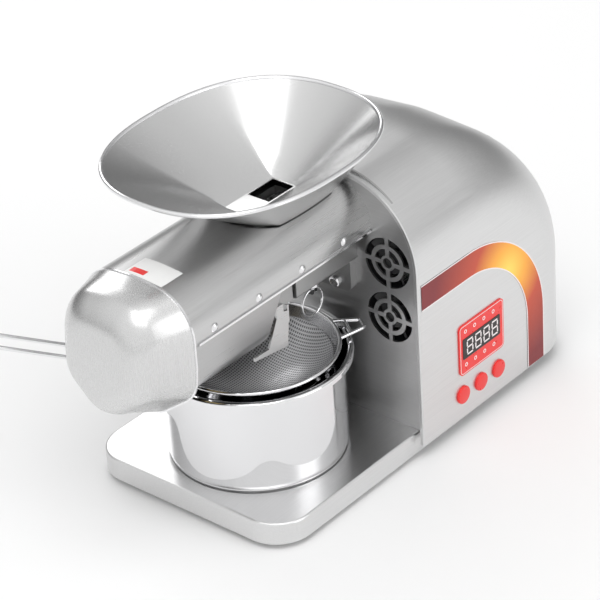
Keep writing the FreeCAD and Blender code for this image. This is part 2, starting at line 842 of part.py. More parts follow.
def head_prism(depth, start, end, floor=None):
    """The head's section between two levels of the axis."""
    return Part.Face(outline(head_section(depth, floor), head_place(float(start)))).extrude(
        Vector(float(end) - float(start), 0, 0))


edge = s.cover_edge
tall = block(s.head_front - 1, axis_y - 2 * s.cover_half_width, edge,
             s.plate_face + 1, axis_y + 2 * s.cover_half_width, 2 * s.cover_crest)
cover_shape = head_prism(0, s.head_front, s.plate_face)
cover_shape = cover_shape.cut(head_prism(float(s.cover_sheet), s.head_front - 1, s.plate_face + 1)).common(tall)
neck_half = s.neck_length / 2
neck_gap = s.window_fit
cover_holes = [block(s.neck_centre - neck_half - neck_gap, axis_y - s.neck_half_width - neck_gap, axis_z,
                     s.neck_centre + neck_half + neck_gap, axis_y + s.neck_half_width + neck_gap,
                     s.cover_crest + 5)]
cover_screw_x = [s.screw_first - s.screw_pitch * k for k in range(4)]
wide = s.cover_half_width
for x in cover_screw_x:
    cover_holes.append(rod(s.small_screw, (x, axis_y - wide - 2, s.screw_line), (x, axis_y + wide + 2, s.screw_line)))
crown_top = cover_shape.BoundBox.ZMax
feature("barrel_cover", cover_shape.cut(cover_holes))

screws = []
for x in cover_screw_x:
    for sign in (-1, 1):
        root_y = axis_y + sign * (wide - s.cover_sheet - s.skirt_tab - 1.5)
        head_y = axis_y + sign * wide
        screws.append(rod(s.small_screw, (x, root_y, s.screw_line), (x, head_y, s.screw_line)))
        ball = Part.makeSphere(float(s.screw_head_radius) * 1.25,
                               Vector(float(x), float(head_y) - sign * float(s.screw_head_radius) * 0.75, float(s.screw_line)))
        outer_side = block(x - 9, head_y, s.screw_line - 9, x + 9, head_y + 9, s.screw_line + 9)
        if sign < 0:
            outer_side = block(x - 9, head_y - 9, s.screw_line - 9, x + 9, head_y, s.screw_line + 9)
        screws[-1] = screws[-1].fuse(ball.common(outer_side)).removeSplitter()
feature("cover_screws", Part.makeCompound(screws))


def cap_body(depth):
    """The end cap's filled form: the head's section drawn in towards a rounded front."""
    front = float(s.head_front - s.cap_depth) + depth
    back = float(s.head_front)
    scale = float(s.cap_taper)
    centre = float(s.cap_centre)
    wires = [outline(head_section(depth), head_place(back)),
             outline(head_section(depth / scale), head_place(front, scale, centre))]
    solid = Part.makeLoft(wires, True, True)
    rim = [e for e in solid.Edges if e.BoundBox.XMax < front + TINY]
    return solid.makeFillet(float(s.cap_round) - depth, rim)


cap_shape = cap_body(0).cut(cap_body(float(s.cap_sheet)))
collar = head_prism(float(s.cover_sheet + s.seat_gap), s.head_front - 6, s.head_front + s.cap_lap)
collar = collar.cut(head_prism(float(s.cover_sheet + s.seat_gap + s.cap_sheet), s.head_front - 8, s.head_front + s.cap_lap + 1))
mouth = block(s.head_front - s.cap_depth + 9, axis_y - s.cap_mouth, 90, s.head_front + s.cap_lap + 1,
              axis_y + s.cap_mouth, s.belly_shoulder)
feature("end_cap", cap_shape.fuse(collar).cut(mouth))

fold = s.cover_edge - s.skirt_gap
skirt_shape = head_prism(0, s.head_front + s.seat_gap, s.skirt_back)
skirt_shape = skirt_shape.cut(head_prism(float(s.skirt_sheet), s.head_front - 1, s.skirt_back + 1))
slant = [(float(s.head_front) - 1, float(s.skirt_bottom), 0), (float(s.skirt_back) - float(s.skirt_slant), float(s.skirt_bottom), 12),
         (float(s.skirt_back), float(fold), 0), (float(s.head_front) - 1, float(fold), 0)]
skirt_shape = skirt_shape.common(prism(slant, "y", axis_y - 2 * wide, axis_y + 2 * wide))
inner_side = wide - s.cover_sheet
tabs = []
tab_start = s.head_front + s.cap_lap + 1
for sign in (-1, 1):
    low, high = sorted([float(axis_y + sign * (inner_side - s.skirt_tab)), float(axis_y + sign * inner_side)])
    tab = block(tab_start, low, fold - 6, s.skirt_back, high, s.screw_line + 4)
    tabs.append(tab.common(head_prism(float(s.cover_sheet), tab_start, s.skirt_back)))
skirt_cut = [rod(s.small_screw, (x, axis_y - wide - 2, s.screw_line), (x, axis_y + wide + 2, s.screw_line))
             for x in cover_screw_x]
for label, sign in (("chute_side_near", -1), ("chute_side_far", 1)):
    half = [piece for piece in skirt_shape.Solids if (piece.CenterOfMass.y - float(axis_y)) * sign > 0]
    tab = tabs[0] if sign < 0 else tabs[1]
    feature(label, half[0].fuse(tab).cut(skirt_cut).removeSplitter())

# Drip guide: a light bent sheet under the slot housing that leads stray oil inwards
guide_out = s.housing_half_width + s.skirt_sheet
guide = Body("drip_guide")
guide_points = [
    (s.guide_back, s.guide_tip), (s.guide_back - 3, s.guide_low), (s.guide_front, s.guide_low + 4.5),
    (s.guide_front, s.skirt_bottom - s.seat_gap), (s.skirt_back - s.skirt_slant + 1, s.skirt_bottom - s.seat_gap),
    (s.skirt_back + 1, s.guide_tip), (s.skirt_back + 1, s.block_bottom + 3), (s.skirt_back + 8, s.block_bottom + 3),
    (s.skirt_back + 8, s.guide_tip + 2)]
for sign in (-1, 1):
    near = axis_y + sign * s.housing_half_width
    far = axis_y + sign * guide_out
    ends = (far, near) if sign < 0 else (near, far)
    guide.pad("XZ", ends[0], ends[1], [("polygon", guide_points)])
guide.pad("YZ", s.guide_back - s.skirt_sheet, s.guide_back,
          [("box", axis_y - guide_out, s.guide_tip - 8, axis_y + guide_out, s.block_bottom)])


# ---------------------------------------------------------------------------------------------
# Press block, slot housing, barrel, press screw, nut, heater band
# ---------------------------------------------------------------------------------------------
fit = s.running_fit
centre = (0, axis_y, axis_z)
rel = lambda height: height - axis_z

press_block = Body("press_block", centre)
half = s.block_half_width
press_block.pad("YZ", s.block_front, s.block_back, [("box", -half, rel(s.block_bottom), half, rel(s.block_top))])
press_block.round(s.block_round, along("x", lambda p: p.z > 0))
press_block.round(2.0, along("x", lambda p: p.z < 0))
flange_half = s.flange_half_width
press_block.pad("YZ", s.block_back, s.plate_face,
                [("box", -flange_half, rel(s.flange_bottom), flange_half, rel(s.flange_top))])
press_block.round(5.0, along("x", lambda p: p.z < float(rel(s.flange_bottom)) + 1))
press_block.cut("YZ", s.block_front, s.barrel_back, [("circle", 0, 0, s.barrel_radius + fit)])
press_block.cut("YZ", s.barrel_back, s.plate_face, [("circle", 0, 0, s.shank_radius + fit)])
feed_room = s.window_fit
feed_wide = s.neck_half_width + feed_room
press_block.cut("XY", 0, rel(s.block_top), [("box", s.neck_centre - neck_half - feed_room, -feed_wide,
                                             s.neck_centre + neck_half + feed_room, feed_wide)])
press_block.cut("YZ", s.block_back, s.plate_face,
                [("circle", y - axis_y, rel(z), s.flange_bolt_radius) for y, z in bolt_spots])
pin_y = -s.pin_offset
press_block.cut("XY", rel(s.block_bottom), rel(s.pin_tip + 1), [("circle", s.pin_x, pin_y, s.pin_radius + fit)])
press_block.cut("XY", rel(s.block_bottom), rel(s.block_bottom + s.bush_depth),
                [("circle", s.pin_x, pin_y, s.bush_radius)])

bolts = Body("flange_bolts", centre)
for y, z in bolt_spots:
    spot = [("circle", y - axis_y, rel(z), s.flange_bolt_radius)]
    bolts.pad("YZ", s.block_back, plate_back + s.case_wall, spot)
    bolts.pad("YZ", s.block_back - 3, s.block_back, [("circle", y - axis_y, rel(z), s.flange_bolt_radius + 1.7)])
bolts.round(1.6, at_level("x", s.block_back - 3))

housing = Body("slot_housing", centre)
housing_back = s.block_front - s.groove_gap
wide_half = s.housing_half_width
housing.pad("YZ", s.housing_front, housing_back,
            [("box", -wide_half, rel(s.block_bottom), wide_half, rel(s.housing_top))])
housing.round(s.block_round, along("x", lambda p: p.z > 0))
inner_half = wide_half - s.housing_wall
housing.cut("YZ", s.housing_front + s.housing_wall, housing_back - s.housing_wall,
            [("box", -inner_half, rel(s.block_bottom), inner_half, rel(s.housing_top - s.housing_wall))])
housing.cut("YZ", s.housing_front, housing_back, [("circle", 0, 0, s.barrel_radius + fit)])

bore = s.barrel_bore
outer = s.barrel_radius
barrel = Body("press_barrel", centre)
barrel.turn([(s.barrel_front, bore), (s.barrel_back, bore), (s.barrel_back, outer), (s.barrel_front, outer)])
barrel.cut("XY", 0, outer + 1, [("box", s.feed_front, -s.feed_half_width, s.feed_back, s.feed_half_width)])
barrel.cut("XY", -s.notch_reach, s.notch_reach, [("circle", s.pin_x, pin_y, s.pin_radius + s.seat_gap)])
slots = []
for k in range(int(round(float(s.slot_count)))):
    start = s.slot_front + s.slot_pitch * k
    slots.append(("box", start, -bore, start + s.slot_width, bore))
barrel.cut("XY", -outer - 1, -bore / 2, slots)

nut_back = s.barrel_front + s.nut_lap
nut_front = nut_back - s.nut_length
nut = Body("barrel_nut", centre)
nut.turn([(nut_front, s.nut_bore), (s.barrel_front, s.nut_bore), (s.barrel_front, outer + fit),
          (nut_back, outer + fit), (nut_back, s.nut_radius), (nut_front, s.nut_radius)])

heater = Body("heater_band", centre)
heater_back = s.heater_front + s.heater_length
heater.turn([(s.heater_front, outer + fit), (heater_back, outer + fit), (heater_back, s.heater_radius),
             (s.heater_front, s.heater_radius)])
heater.cut("XY", outer - 1, s.heater_radius + 1, [("box", s.heater_front, -1, heater_back, 1)])


def press_screw():
    """Root cone with one rising flight, a plain shank and a square tang."""
    rear, front = float(s.barrel_back), nut_front
    tip = float(nut_front) - 3
    big, small = float(s.screw_tip_root), float(s.screw_root)
    flight_end = float(s.barrel_front) + 3
    x_axis = Vector(1, 0, 0)
    root = Part.makeCone(big, small, rear - flight_end, Vector(flight_end, 0, 0), x_axis)
    nose = Part.makeCone(float(s.nut_bore) - 2.5, float(s.nut_bore) - 0.4, flight_end - tip, Vector(tip, 0, 0), x_axis)
    shank = Part.makeCylinder(float(s.shank_radius), float(s.plate_face) - rear, Vector(rear, 0, 0), x_axis)
    half_tang = float(s.tang_across_flats) / 2
    tang = block(s.plate_face, -half_tang, -half_tang, s.tang_back, half_tang, half_tang)
    length = rear - flight_end - 1
    pitch = float(s.screw_pitch_length)
    radius = float(s.barrel_bore - s.screw_flight_gap)
    helix = Part.makeHelix(pitch, length - float(s.screw_flight), small)
    depth = radius - small + 1.5
    wide = float(s.screw_flight)
    start = Vector(small, 0, 0)
    corners = [start + Vector(-1.5, 0, -0.8), start + Vector(radius - small, 0, 0),
               start + Vector(radius - small, 0, wide - 0.8), start + Vector(-1.5, 0, wide)]
    profile = Part.makePolygon(corners + corners[:1])
    flight = Part.Wire(helix.Edges).makePipeShell([profile], True, True)
    flight.rotate(Vector(), Vector(0, 1, 0), 90)
    flight.translate(Vector(flight_end + 1, 0, 0))
    if flight.Volume < 0:
        flight.reverse()
    return root.fuse([nose, shank, tang, flight])


feature("press_screw", press_screw(), centre)


# ---------------------------------------------------------------------------------------------
# Lock pin with its bush and pull ring
# ---------------------------------------------------------------------------------------------
pin_at = (s.pin_x, axis_y - s.pin_offset, 0)
bush = Body("pin_bush", pin_at)
bush_top = s.block_bottom + s.bush_depth
pin_bore = s.pin_radius + fit
bush.turn([(pin_bore, s.block_bottom - 2.5), (s.bush_flange, s.block_bottom - 2.5), (s.bush_flange, s.block_bottom),
           (s.bush_radius, s.block_bottom), (s.bush_radius, bush_top), (pin_bore, bush_top)], axis="V_Axis")
pin = Body("lock_pin", pin_at)
lug_low = s.pin_eye - 3.5
pin.turn([(0, s.pin_knob_top - 4), (s.pin_knob_radius - 1, s.pin_knob_top - 4), (s.pin_knob_radius, s.pin_knob_top - 3),
          (s.pin_knob_radius, s.pin_knob_top), (s.pin_radius, s.pin_knob_top), (s.pin_radius, s.pin_tip - 1),
          (s.pin_radius - 1, s.pin_tip), (0, s.pin_tip)], axis="V_Axis")
pin.pad("YZ", -s.pin_lug / 2, s.pin_lug / 2, [("box", -3.5, lug_low, 3.5, s.pin_knob_top - 4)])
pin.round(3.0, along("x", lambda p: p.z < float(lug_low) + TINY))
pin.cut("YZ", -s.pin_lug / 2, s.pin_lug / 2, [("circle", 0, s.pin_eye, s.ring_wire + s.seat_gap + 0.2)])
ring = Part.makeTorus(float(s.ring_radius), float(s.ring_wire), Vector(0, 0, -float(s.ring_radius)), Vector(0, 1, 0))
feature("pull_ring", ring, (s.pin_x, axis_y - s.pin_offset, s.pin_eye))


# ---------------------------------------------------------------------------------------------
# Hopper: square throat to oval rim with a rolled bead, and a neck into the feed opening
# ---------------------------------------------------------------------------------------------
def rim_curve(depth, height):
    """The oval rim as one closed curve through a superellipse, moved inwards by a depth."""
    a, b = float(s.hopper_half_length) - depth, float(s.hopper_half_width) - depth
    power = 2 / float(s.hopper_power)
    points = []
    for k in range(RIM_POINTS):
        c, d = math.cos(2 * math.pi * k / RIM_POINTS), math.sin(2 * math.pi * k / RIM_POINTS)
        points.append(Vector(float(s.hopper_centre) + a * math.copysign(abs(c) ** power, c),
                             float(axis_y) + b * math.copysign(abs(d) ** power, d), height))
    curve = Part.BSplineCurve()
    curve.interpolate(Points=points, PeriodicFlag=True)
    return curve, points


def hopper_rim(depth, height):
    """The rim curve cut into eight edges, four flat sides and four corners."""
    curve, points = rim_curve(depth, height)
    marks = []
    for quarter in range(4):
        centre_mark = quarter * RIM_POINTS // 4
        marks += [(centre_mark - RIM_FLAT) % RIM_POINTS, centre_mark + RIM_FLAT]
    params = [curve.parameter(points[mark]) for mark in marks]
    period = curve.LastParameter - curve.FirstParameter
    edges = []
    for k, start in enumerate(params):
        end = params[(k + 1) % 8]
        edges.append(curve.toShape(start, end if end > start else end + period))
    return Part.Wire(edges)


def throat_outline(depth, height):
    """The rounded rectangle that the hopper stands on, starting on its +X side."""
    x0, x1 = float(s.throat_back - s.throat_length) + depth, float(s.throat_back) - depth
    y0, y1 = float(axis_y - s.throat_half_width) + depth, float(axis_y + s.throat_half_width) - depth
    bend = max(float(s.throat_round) - depth, 0.3)
    corners = [(x1, y0, bend), (x1, y1, bend), (x0, y1, bend), (x0, y0, bend)]
    wire = outline(corners, lambda p: Vector(p.x, p.y, height))
    edges = wire.OrderedEdges
    return Part.Wire(edges[1:] + edges[:1])


def hopper():
    """The hopper's sheet, bead, floor and neck as one solid."""
    sheet = float(s.hopper_sheet)
    floor = crown_top + float(s.throat_gap)
    top = float(s.hopper_top - s.hopper_bead)
    shell = Part.makeLoft([throat_outline(0, floor), hopper_rim(0, top)], True, True)
    room = Part.makeLoft([throat_outline(sheet, floor + sheet), hopper_rim(sheet, top)], True, True)
    neck_x0, neck_x1 = float(s.neck_centre - neck_half), float(s.neck_centre + neck_half)
    neck_y0, neck_y1 = float(axis_y - s.neck_half_width), float(axis_y + s.neck_half_width)
    neck = block(neck_x0, neck_y0, s.neck_bottom, neck_x1, neck_y1, floor + sheet)
    passage = block(neck_x0 + sheet, neck_y0 + sheet, s.neck_bottom - 1, neck_x1 - sheet, neck_y1 - sheet, floor + 3)
    rim, points = rim_curve(sheet / 2, top)
    bead = Part.Wire(Part.makeCircle(float(s.hopper_bead), rim.value(rim.FirstParameter),
                                     rim.tangent(rim.FirstParameter)[0]))
    roll = Part.Wire(rim.toShape()).makePipeShell([bead], True, False)
    return shell.cut(room).fuse([neck, roll]).cut(passage)


feature("hopper", hopper())


# ---------------------------------------------------------------------------------------------
# Oil cup and strainer
# ---------------------------------------------------------------------------------------------
cup_at = (s.cup_x, s.cup_y, 0)
cup_floor = tray_top + fit
cup = Body("oil_cup", cup_at)
r0, thin, lip = s.cup_radius, s.cup_sheet, s.cup_lip
cup.turn([(0, cup_floor), (r0, cup_floor), (r0, s.cup_top - 6), (lip, s.cup_top - 4.4), (lip, s.cup_top),
          (lip - 4, s.cup_top), (r0 - thin, s.cup_top - 4.5), (r0 - thin, cup_floor + thin), (0, cup_floor + thin)],
         axis="V_Axis")
cup.round(s.cup_corner, lambda points: at_level("z", cup_floor)(points))
cup.round(s.cup_lip_round - 0.4, at_level("z", s.cup_top))

rim_z = s.strainer_rim_height
wire = float(s.strainer_wire)


def strainer_frame():
    """Rim wire with the steel band below it."""
    ring = Part.makeTorus(float(s.strainer_radius), wire, Vector(0, 0, float(rim_z)))
    low = rim_z - s.strainer_band
    rim_r = float(s.strainer_radius)
    profile = Part.makePolygon([Vector(rim_r - 0.9, 0, float(rim_z)), Vector(rim_r - 3, 0, float(low)),
                                Vector(rim_r - 3.8, 0, float(low)), Vector(rim_r - 1.7, 0, float(rim_z)),
                                Vector(rim_r - 0.9, 0, float(rim_z))])
    band = Part.Face(profile).revolve(Vector(), Vector(0, 0, 1), 360)
    return ring.fuse(band)


rim_shape = strainer_frame()
feature("strainer_rim", rim_shape, cup_at)


def strainer_bowl():
    """The mesh bowl as a thin dish, part of a sphere."""
    top = float(rim_z - s.strainer_band)
    deep = float(s.strainer_depth - s.strainer_band)
    wide = float(s.strainer_radius) - 3.8
    radius = (wide * wide + deep * deep) / (2 * deep)
    middle = Vector(0, 0, top - deep + radius)
    shell = Part.makeSphere(radius, middle).cut(Part.makeSphere(radius - float(s.mesh_sheet), middle))
    return shell.common(block(-wide - 1, -wide - 1, top - deep - 1, wide + 1, wide + 1, top))


feature("strainer_mesh", strainer_bowl(), cup_at)


def bent_handle():
    """Two wires from the rim, rising away from the cup and joined by a round bend."""
    start, end = float(s.strainer_radius) - 1.2, float(s.handle_reach)
    spread = float(s.handle_spread)
    rise = float(s.handle_rise)
    level = float(rim_z) - 0.4
    knee = start + 7
    path = [Vector(start, -spread, level), Vector(knee, -spread, level + 0.4), Vector(end, -spread, level + rise * (end - knee)),
            Vector(end, spread, level + rise * (end - knee)), Vector(knee, spread, level + 0.4), Vector(start, spread, level)]
    shape = bent_wire(path, spread * 0.45, wire)
    shape.rotate(Vector(), Vector(0, 0, 1), float(s.handle_heading))
    return shape.cut(rim_shape)


feature("strainer_handle", bent_handle(), cup_at)


def ear():
    """The wire ear opposite the handle, with its cross wire."""
    start, end = float(s.strainer_radius) - 1.2, float(s.ear_reach)
    level = float(rim_z)
    path = [Vector(start, -11.5, level), Vector(end, -5, level + 1), Vector(end, 5, level + 1), Vector(start, 11.5, level)]
    shape = bent_wire(path, 2.8, wire * 0.9)
    cross = rod(wire * 0.7, (start + 9, -9.2, level + 0.5), (start + 9, 9.2, level + 0.5))
    shape = shape.fuse(cross)
    shape.rotate(Vector(), Vector(0, 0, 1), float(s.handle_heading) - 180)
    return shape.cut(rim_shape)


feature("strainer_ear", ear(), cup_at)


# ---------------------------------------------------------------------------------------------
# Gearbox and motor behind the front plate
# ---------------------------------------------------------------------------------------------
tooth_low, tooth_high = s.low_module, s.high_module
middle_z = axis_z - tooth_low * (s.output_teeth + s.drive_teeth) / 2
motor_z = middle_z - tooth_high * (s.wheel_teeth + s.pinion_teeth) / 2
case_front = plate_back
wall = s.case_wall
low_z = s.case_low_centre


def obround(depth):
    """The gear case outline (y, z): two half rounds joined by straight sides."""
    radius = float(s.case_half_width) - depth
    y = float(axis_y)
    return [(y - radius, float(low_z) - radius, radius * 0.999), (y + radius, float(low_z) - radius, radius * 0.999),
            (y + radius, float(axis_z) + radius, radius * 0.999), (y - radius, float(axis_z) + radius, radius * 0.999)]


case_shape = prism(obround(0), "x", case_front, s.case_split).cut(
    prism(obround(float(wall)), "x", case_front + wall, s.case_split + 1))
case_holes = [rod(s.output_shaft_radius + fit, (case_front - 1, axis_y, axis_z), (case_front + wall + 1, axis_y, axis_z))]
case_holes += [rod(s.flange_bolt_radius, (case_front - 1, y, z), (case_front + wall, y, z)) for y, z in bolt_spots]
middle_hole = s.middle_shaft_radius + fit
case_holes.append(rod(middle_hole, (case_front, axis_y, middle_z), (case_front + wall + 1, axis_y, middle_z)))
feature("gear_case", case_shape.cut(case_holes))

cover = prism(obround(0), "x", s.case_split, s.case_back).cut(
    prism(obround(float(wall)), "x", s.case_split - 1, s.case_back - wall))
cover_cut = [rod(s.output_stub_radius + fit, (s.case_back - wall - 1, axis_y, axis_z), (s.case_back - 1, axis_y, axis_z)),
             rod(middle_hole, (s.case_back - wall - 1, axis_y, middle_z), (s.case_back - 1, axis_y, middle_z)),
             rod(s.pinion_clear, (s.case_back - wall - 1, axis_y, motor_z), (s.case_back + 1, axis_y, motor_z))]
feature("gear_cover", cover.cut(cover_cut))

gear_start = case_front + wall + 3.5
gear_end = gear_start + s.low_face
shaft = Body("output_shaft", centre)
shaft.turn([(plate_back, 0), (s.case_back - 1.5, 0), (s.case_back - 1.5, s.output_stub_radius),
            (gear_end, s.output_stub_radius), (gear_end, s.output_shaft_radius), (plate_back, s.output_shaft_radius)])
half_socket = s.tang_across_flats / 2 + fit
shaft.cut("YZ", plate_back, s.tang_back + 1, [("box", -half_socket, -half_socket, half_socket, half_socket)])

big_gear = gear(s.output_teeth, tooth_low, s.low_face, s.backlash / 2)
big_gear = big_gear.cut(rod(s.output_shaft_radius, (-1, 0, 0), (s.low_face + 1, 0, 0)))
feature("output_gear", big_gear, (gear_start, axis_y, axis_z))


def turned(shape, teeth):
    """A gear turned by half a tooth, so that its gap meets the tooth of its partner."""
    shape.rotate(Vector(), Vector(1, 0, 0), 180.0 / float(teeth))
    return shape


middle = gear(s.drive_teeth, tooth_low, s.low_face + 2, s.backlash / 2)
wheel_start = s.case_split + 1 - gear_start + 1
wheel = gear(s.wheel_teeth, tooth_high, s.high_face, s.backlash / 2)
wheel.translate(Vector(float(wheel_start), 0, 0))
spindle = rod(s.middle_shaft_radius, (case_front + 0.5 - gear_start + 1, 0, 0), (s.case_back - 1.5 - gear_start + 1, 0, 0))
hub = rod(s.middle_shaft_radius + 3, (s.low_face + 2, 0, 0), (wheel_start, 0, 0)) if float(wheel_start) > float(s.low_face + 2) else None
middle = turned(middle, s.drive_teeth)
pieces = [wheel, spindle] + ([hub] if hub else [])
feature("middle_gear_shaft", middle.fuse(pieces), (gear_start - 1, axis_y, middle_z))

pinion = turned(gear(s.pinion_teeth, tooth_high, s.high_face + 1, s.backlash / 2), s.pinion_teeth)
pinion_start = s.case_split + 0.5
pinion = pinion.cut(rod(s.motor_shaft_radius, (-1, 0, 0), (s.high_face + 3, 0, 0)))
feature("motor_pinion", pinion, (pinion_start, axis_y, motor_z))

motor_at = (0, axis_y, motor_z)
can_back = s.case_back + s.motor_length
can = Body("motor_can", motor_at)
skin = s.motor_wall
outer_r = s.motor_radius
can.turn([(s.case_back, s.pinion_clear), (s.case_back + skin, s.pinion_clear), (s.case_back + skin, outer_r - skin),
          (can_back, outer_r - skin), (can_back, outer_r), (s.case_back, outer_r)])
bell = Body("motor_end_bell", motor_at)
bell_back = can_back + s.bell_length
bell.turn([(can_back, s.motor_shaft_radius + fit), (bell_back, s.motor_shaft_radius + fit), (bell_back, 10),
           (can_back + 5, 14), (can_back + 4, outer_r), (can_back, outer_r)])
front_bush = Body("motor_front_bearing", motor_at)
front_bush.turn([(s.case_back, s.motor_shaft_radius + fit), (s.case_back + 5, s.motor_shaft_radius + fit),
                 (s.case_back + 5, s.pinion_clear), (s.case_back, s.pinion_clear)])
rotor = Body("motor_armature", motor_at)
rotor_r = outer_r - skin - 4
magnet_front, magnet_back = s.case_back + skin + 8, can_back - 12
rotor.turn([(pinion_start, 0), (bell_back - 2, 0), (bell_back - 2, s.motor_shaft_radius), (magnet_back + 8, s.motor_shaft_radius),
            (magnet_back + 8, 8), (magnet_back, 8), (magnet_back, rotor_r), (magnet_front, rotor_r),
            (magnet_front, s.motor_shaft_radius), (pinion_start, s.motor_shaft_radius)])
magnets = Body("motor_magnets", motor_at)
magnets.turn([(magnet_front, rotor_r + 0.8), (magnet_back, rotor_r + 0.8), (magnet_back, outer_r - skin),
              (magnet_front, outer_r - skin)])


# ---------------------------------------------------------------------------------------------
# Cooling fans behind the grilles
# ---------------------------------------------------------------------------------------------
for label, height in (("lower", s.grille_low), ("upper", s.grille_high)):
    at = (plate_back, grille_y, height)
    frame = Body("fan_frame_" + label, at)
    half = s.fan_size / 2
    frame.pad("YZ", 0, s.fan_depth, [("box", -half, -half, half, half)])
    frame.round(3.0, along("x"))
    frame.cut("YZ", 0, s.fan_depth, [("circle", 0, 0, s.fan_bore)])
    frame.pad("YZ", s.fan_depth - 1.5, s.fan_depth, [("box", -1.5, -s.fan_bore, 1.5, s.fan_bore)])
    frame.pad("YZ", s.fan_depth - 1.5, s.fan_depth, [("circle", 0, 0, s.fan_hub)])
    hub = rod(s.fan_hub, (1, 0, 0), (s.fan_depth - 2, 0, 0))
    blades = []
    for k in range(7):
        blade = Part.makeBox(1.2, 7.5, float(s.fan_tip - s.fan_hub) + 2, Vector(-0.6, -3.75, float(s.fan_hub) - 2))
        blade.rotate(Vector(), Vector(0, 0, 1), 38)
        blade.translate(Vector(float(s.fan_depth) / 2 - 0.5, 0, 0))
        blade.rotate(Vector(), Vector(1, 0, 0), 360.0 / 7 * k)
        blades.append(blade)
    wheel_shape = hub.fuse(blades).common(rod(s.fan_tip, (0, 0, 0), (s.fan_depth - 2, 0, 0)))
    feature("fan_wheel_" + label, wheel_shape, at)


# ---------------------------------------------------------------------------------------------
# Power inlet and rocker switch on the back wall
# ---------------------------------------------------------------------------------------------
back = s.hood_back
inlet_at = (back, s.inlet_y, s.inlet_z)
inlet = Body("power_inlet", inlet_at)
iw, ih = inlet_half
rimmed = s.inlet_rim
inlet.pad("YZ", 0, 2, [("box", -iw - rimmed, -ih - rimmed, iw + rimmed, ih + rimmed)])
inlet.round(2.0, along("x"))
snug = s.seat_gap / 2
inlet.pad("YZ", -s.inlet_depth, 0, [("box", -iw + snug, -ih + snug, iw - snug, ih - snug)])
inlet.cut("YZ", 3 - s.inlet_depth, 2, [("box", -iw + 2, -ih + 2, iw - 2, ih - 2)])
inlet.pad("YZ", 3 - s.inlet_depth, -3, [("box", y - 1, z - 2, y + 1, z + 2) for y, z in ((-7, -2), (0, 2), (7, -2))])

switch_at = (back, s.switch_y, s.inlet_z)
switch = Body("switch_frame", switch_at)
sw, sh = switch_half
switch.pad("YZ", 0, 1.5, [("box", -sw - 1.5, -sh - 1.5, sw + 1.5, sh + 1.5)])
switch.round(1.5, along("x"))
switch.pad("YZ", -14, 0, [("box", -sw + snug, -sh + snug, sw - snug, sh - snug)])
switch.cut("YZ", -12, 1.5, [("box", -sw + 1.2, -sh + 1.2, sw - 1.2, sh - 1.2)])
rocker = Body("switch_rocker", (back - 3, s.switch_y, s.inlet_z))
rw, rh = sw - 1.2 - s.seat_gap, sh - 1.2 - 0.9
rocker.pad("XZ", -rw, rw, [("polygon", [(-4, -5), (5.5, -rh), (3.8, 0), (6.5, rh), (-4, 5)])])
rocker.round(0.5, along("y", lambda p: p.x > 4))


# ---------------------------------------------------------------------------------------------
# Checks and export
# ---------------------------------------------------------------------------------------------
doc.recompute()
os.makedirs("parts", exist_ok=True)
for item in doc.Objects:
    if "Invalid" in item.State or "Error" in item.State:
        raise RuntimeError("%s failed to compute" % item.Name)
for item in doc.Objects:
    if item.TypeId not in ("PartDesign::Body", "Part::Feature"):
        continue
    if item.Shape.isNull() or not item.Shape.isValid() or item.Shape.Volume < 1:
        raise RuntimeError("%s has no valid shape" % item.Label)
    item.Shape.exportStep("parts/%s.step" % item.Label)
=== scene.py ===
import math

import bmesh
import bpy
from mathutils import Matrix, Vector


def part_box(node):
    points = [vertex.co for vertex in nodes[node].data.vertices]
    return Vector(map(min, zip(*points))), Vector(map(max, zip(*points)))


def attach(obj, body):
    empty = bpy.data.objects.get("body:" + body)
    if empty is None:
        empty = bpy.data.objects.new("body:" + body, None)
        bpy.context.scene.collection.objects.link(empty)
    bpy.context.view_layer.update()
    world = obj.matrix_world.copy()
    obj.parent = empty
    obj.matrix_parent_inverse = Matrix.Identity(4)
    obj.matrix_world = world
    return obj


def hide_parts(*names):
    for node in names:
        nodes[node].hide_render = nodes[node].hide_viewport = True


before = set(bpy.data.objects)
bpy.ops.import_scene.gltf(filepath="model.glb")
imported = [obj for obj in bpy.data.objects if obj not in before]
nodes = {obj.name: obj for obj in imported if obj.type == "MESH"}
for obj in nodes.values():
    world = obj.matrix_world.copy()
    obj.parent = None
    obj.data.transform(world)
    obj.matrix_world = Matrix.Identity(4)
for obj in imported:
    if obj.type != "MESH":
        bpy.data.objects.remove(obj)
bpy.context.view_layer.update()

# Camera: a long lens from the front left, slightly above, with a small roll
camera = bpy.data.objects.new("camera", bpy.data.cameras.new("camera"))
bpy.context.collection.objects.link(camera)
bpy.context.scene.camera = camera
camera.data.lens = 164.6
camera.data.sensor_width = 36.0
camera.data.clip_end = 20.0
heading, drop, roll = math.radians(41.804), math.radians(31.166), math.radians(-3.914)
forward = Vector((math.cos(drop) * math.cos(heading), math.cos(drop) * math.sin(heading), -math.sin(drop)))
right = forward.cross(Vector((0, 0, 1))).normalized()
up = right.cross(forward)
across = right * math.cos(roll) + up * math.sin(roll)
upright = up * math.cos(roll) - right * math.sin(roll)
turn = Matrix((across, upright, -forward)).transposed().to_4x4()
camera.matrix_world = Matrix.Translation((-1.1930, -1.0462, 1.0509)) @ turn

# Studio: a white floor that keeps the shadow, a room that is bright overhead and in front and
# darker behind, and three large soft lights. The eye sees the room as plain white.
class Sock:
    """A node socket that takes part in plain arithmetic while a material is being wired."""

    def __init__(self, tree, socket):
        self.tree = tree
        self.socket = socket

    def math(self, operation, other):
        return add_node(self.tree, "Math", 0, {"operation": operation}, i0=self, i1=other)

    def __add__(self, other):
        return self.math("ADD", other)

    __radd__ = __add__

    def __mul__(self, other):
        return self.math("MULTIPLY", other)

    __rmul__ = __mul__


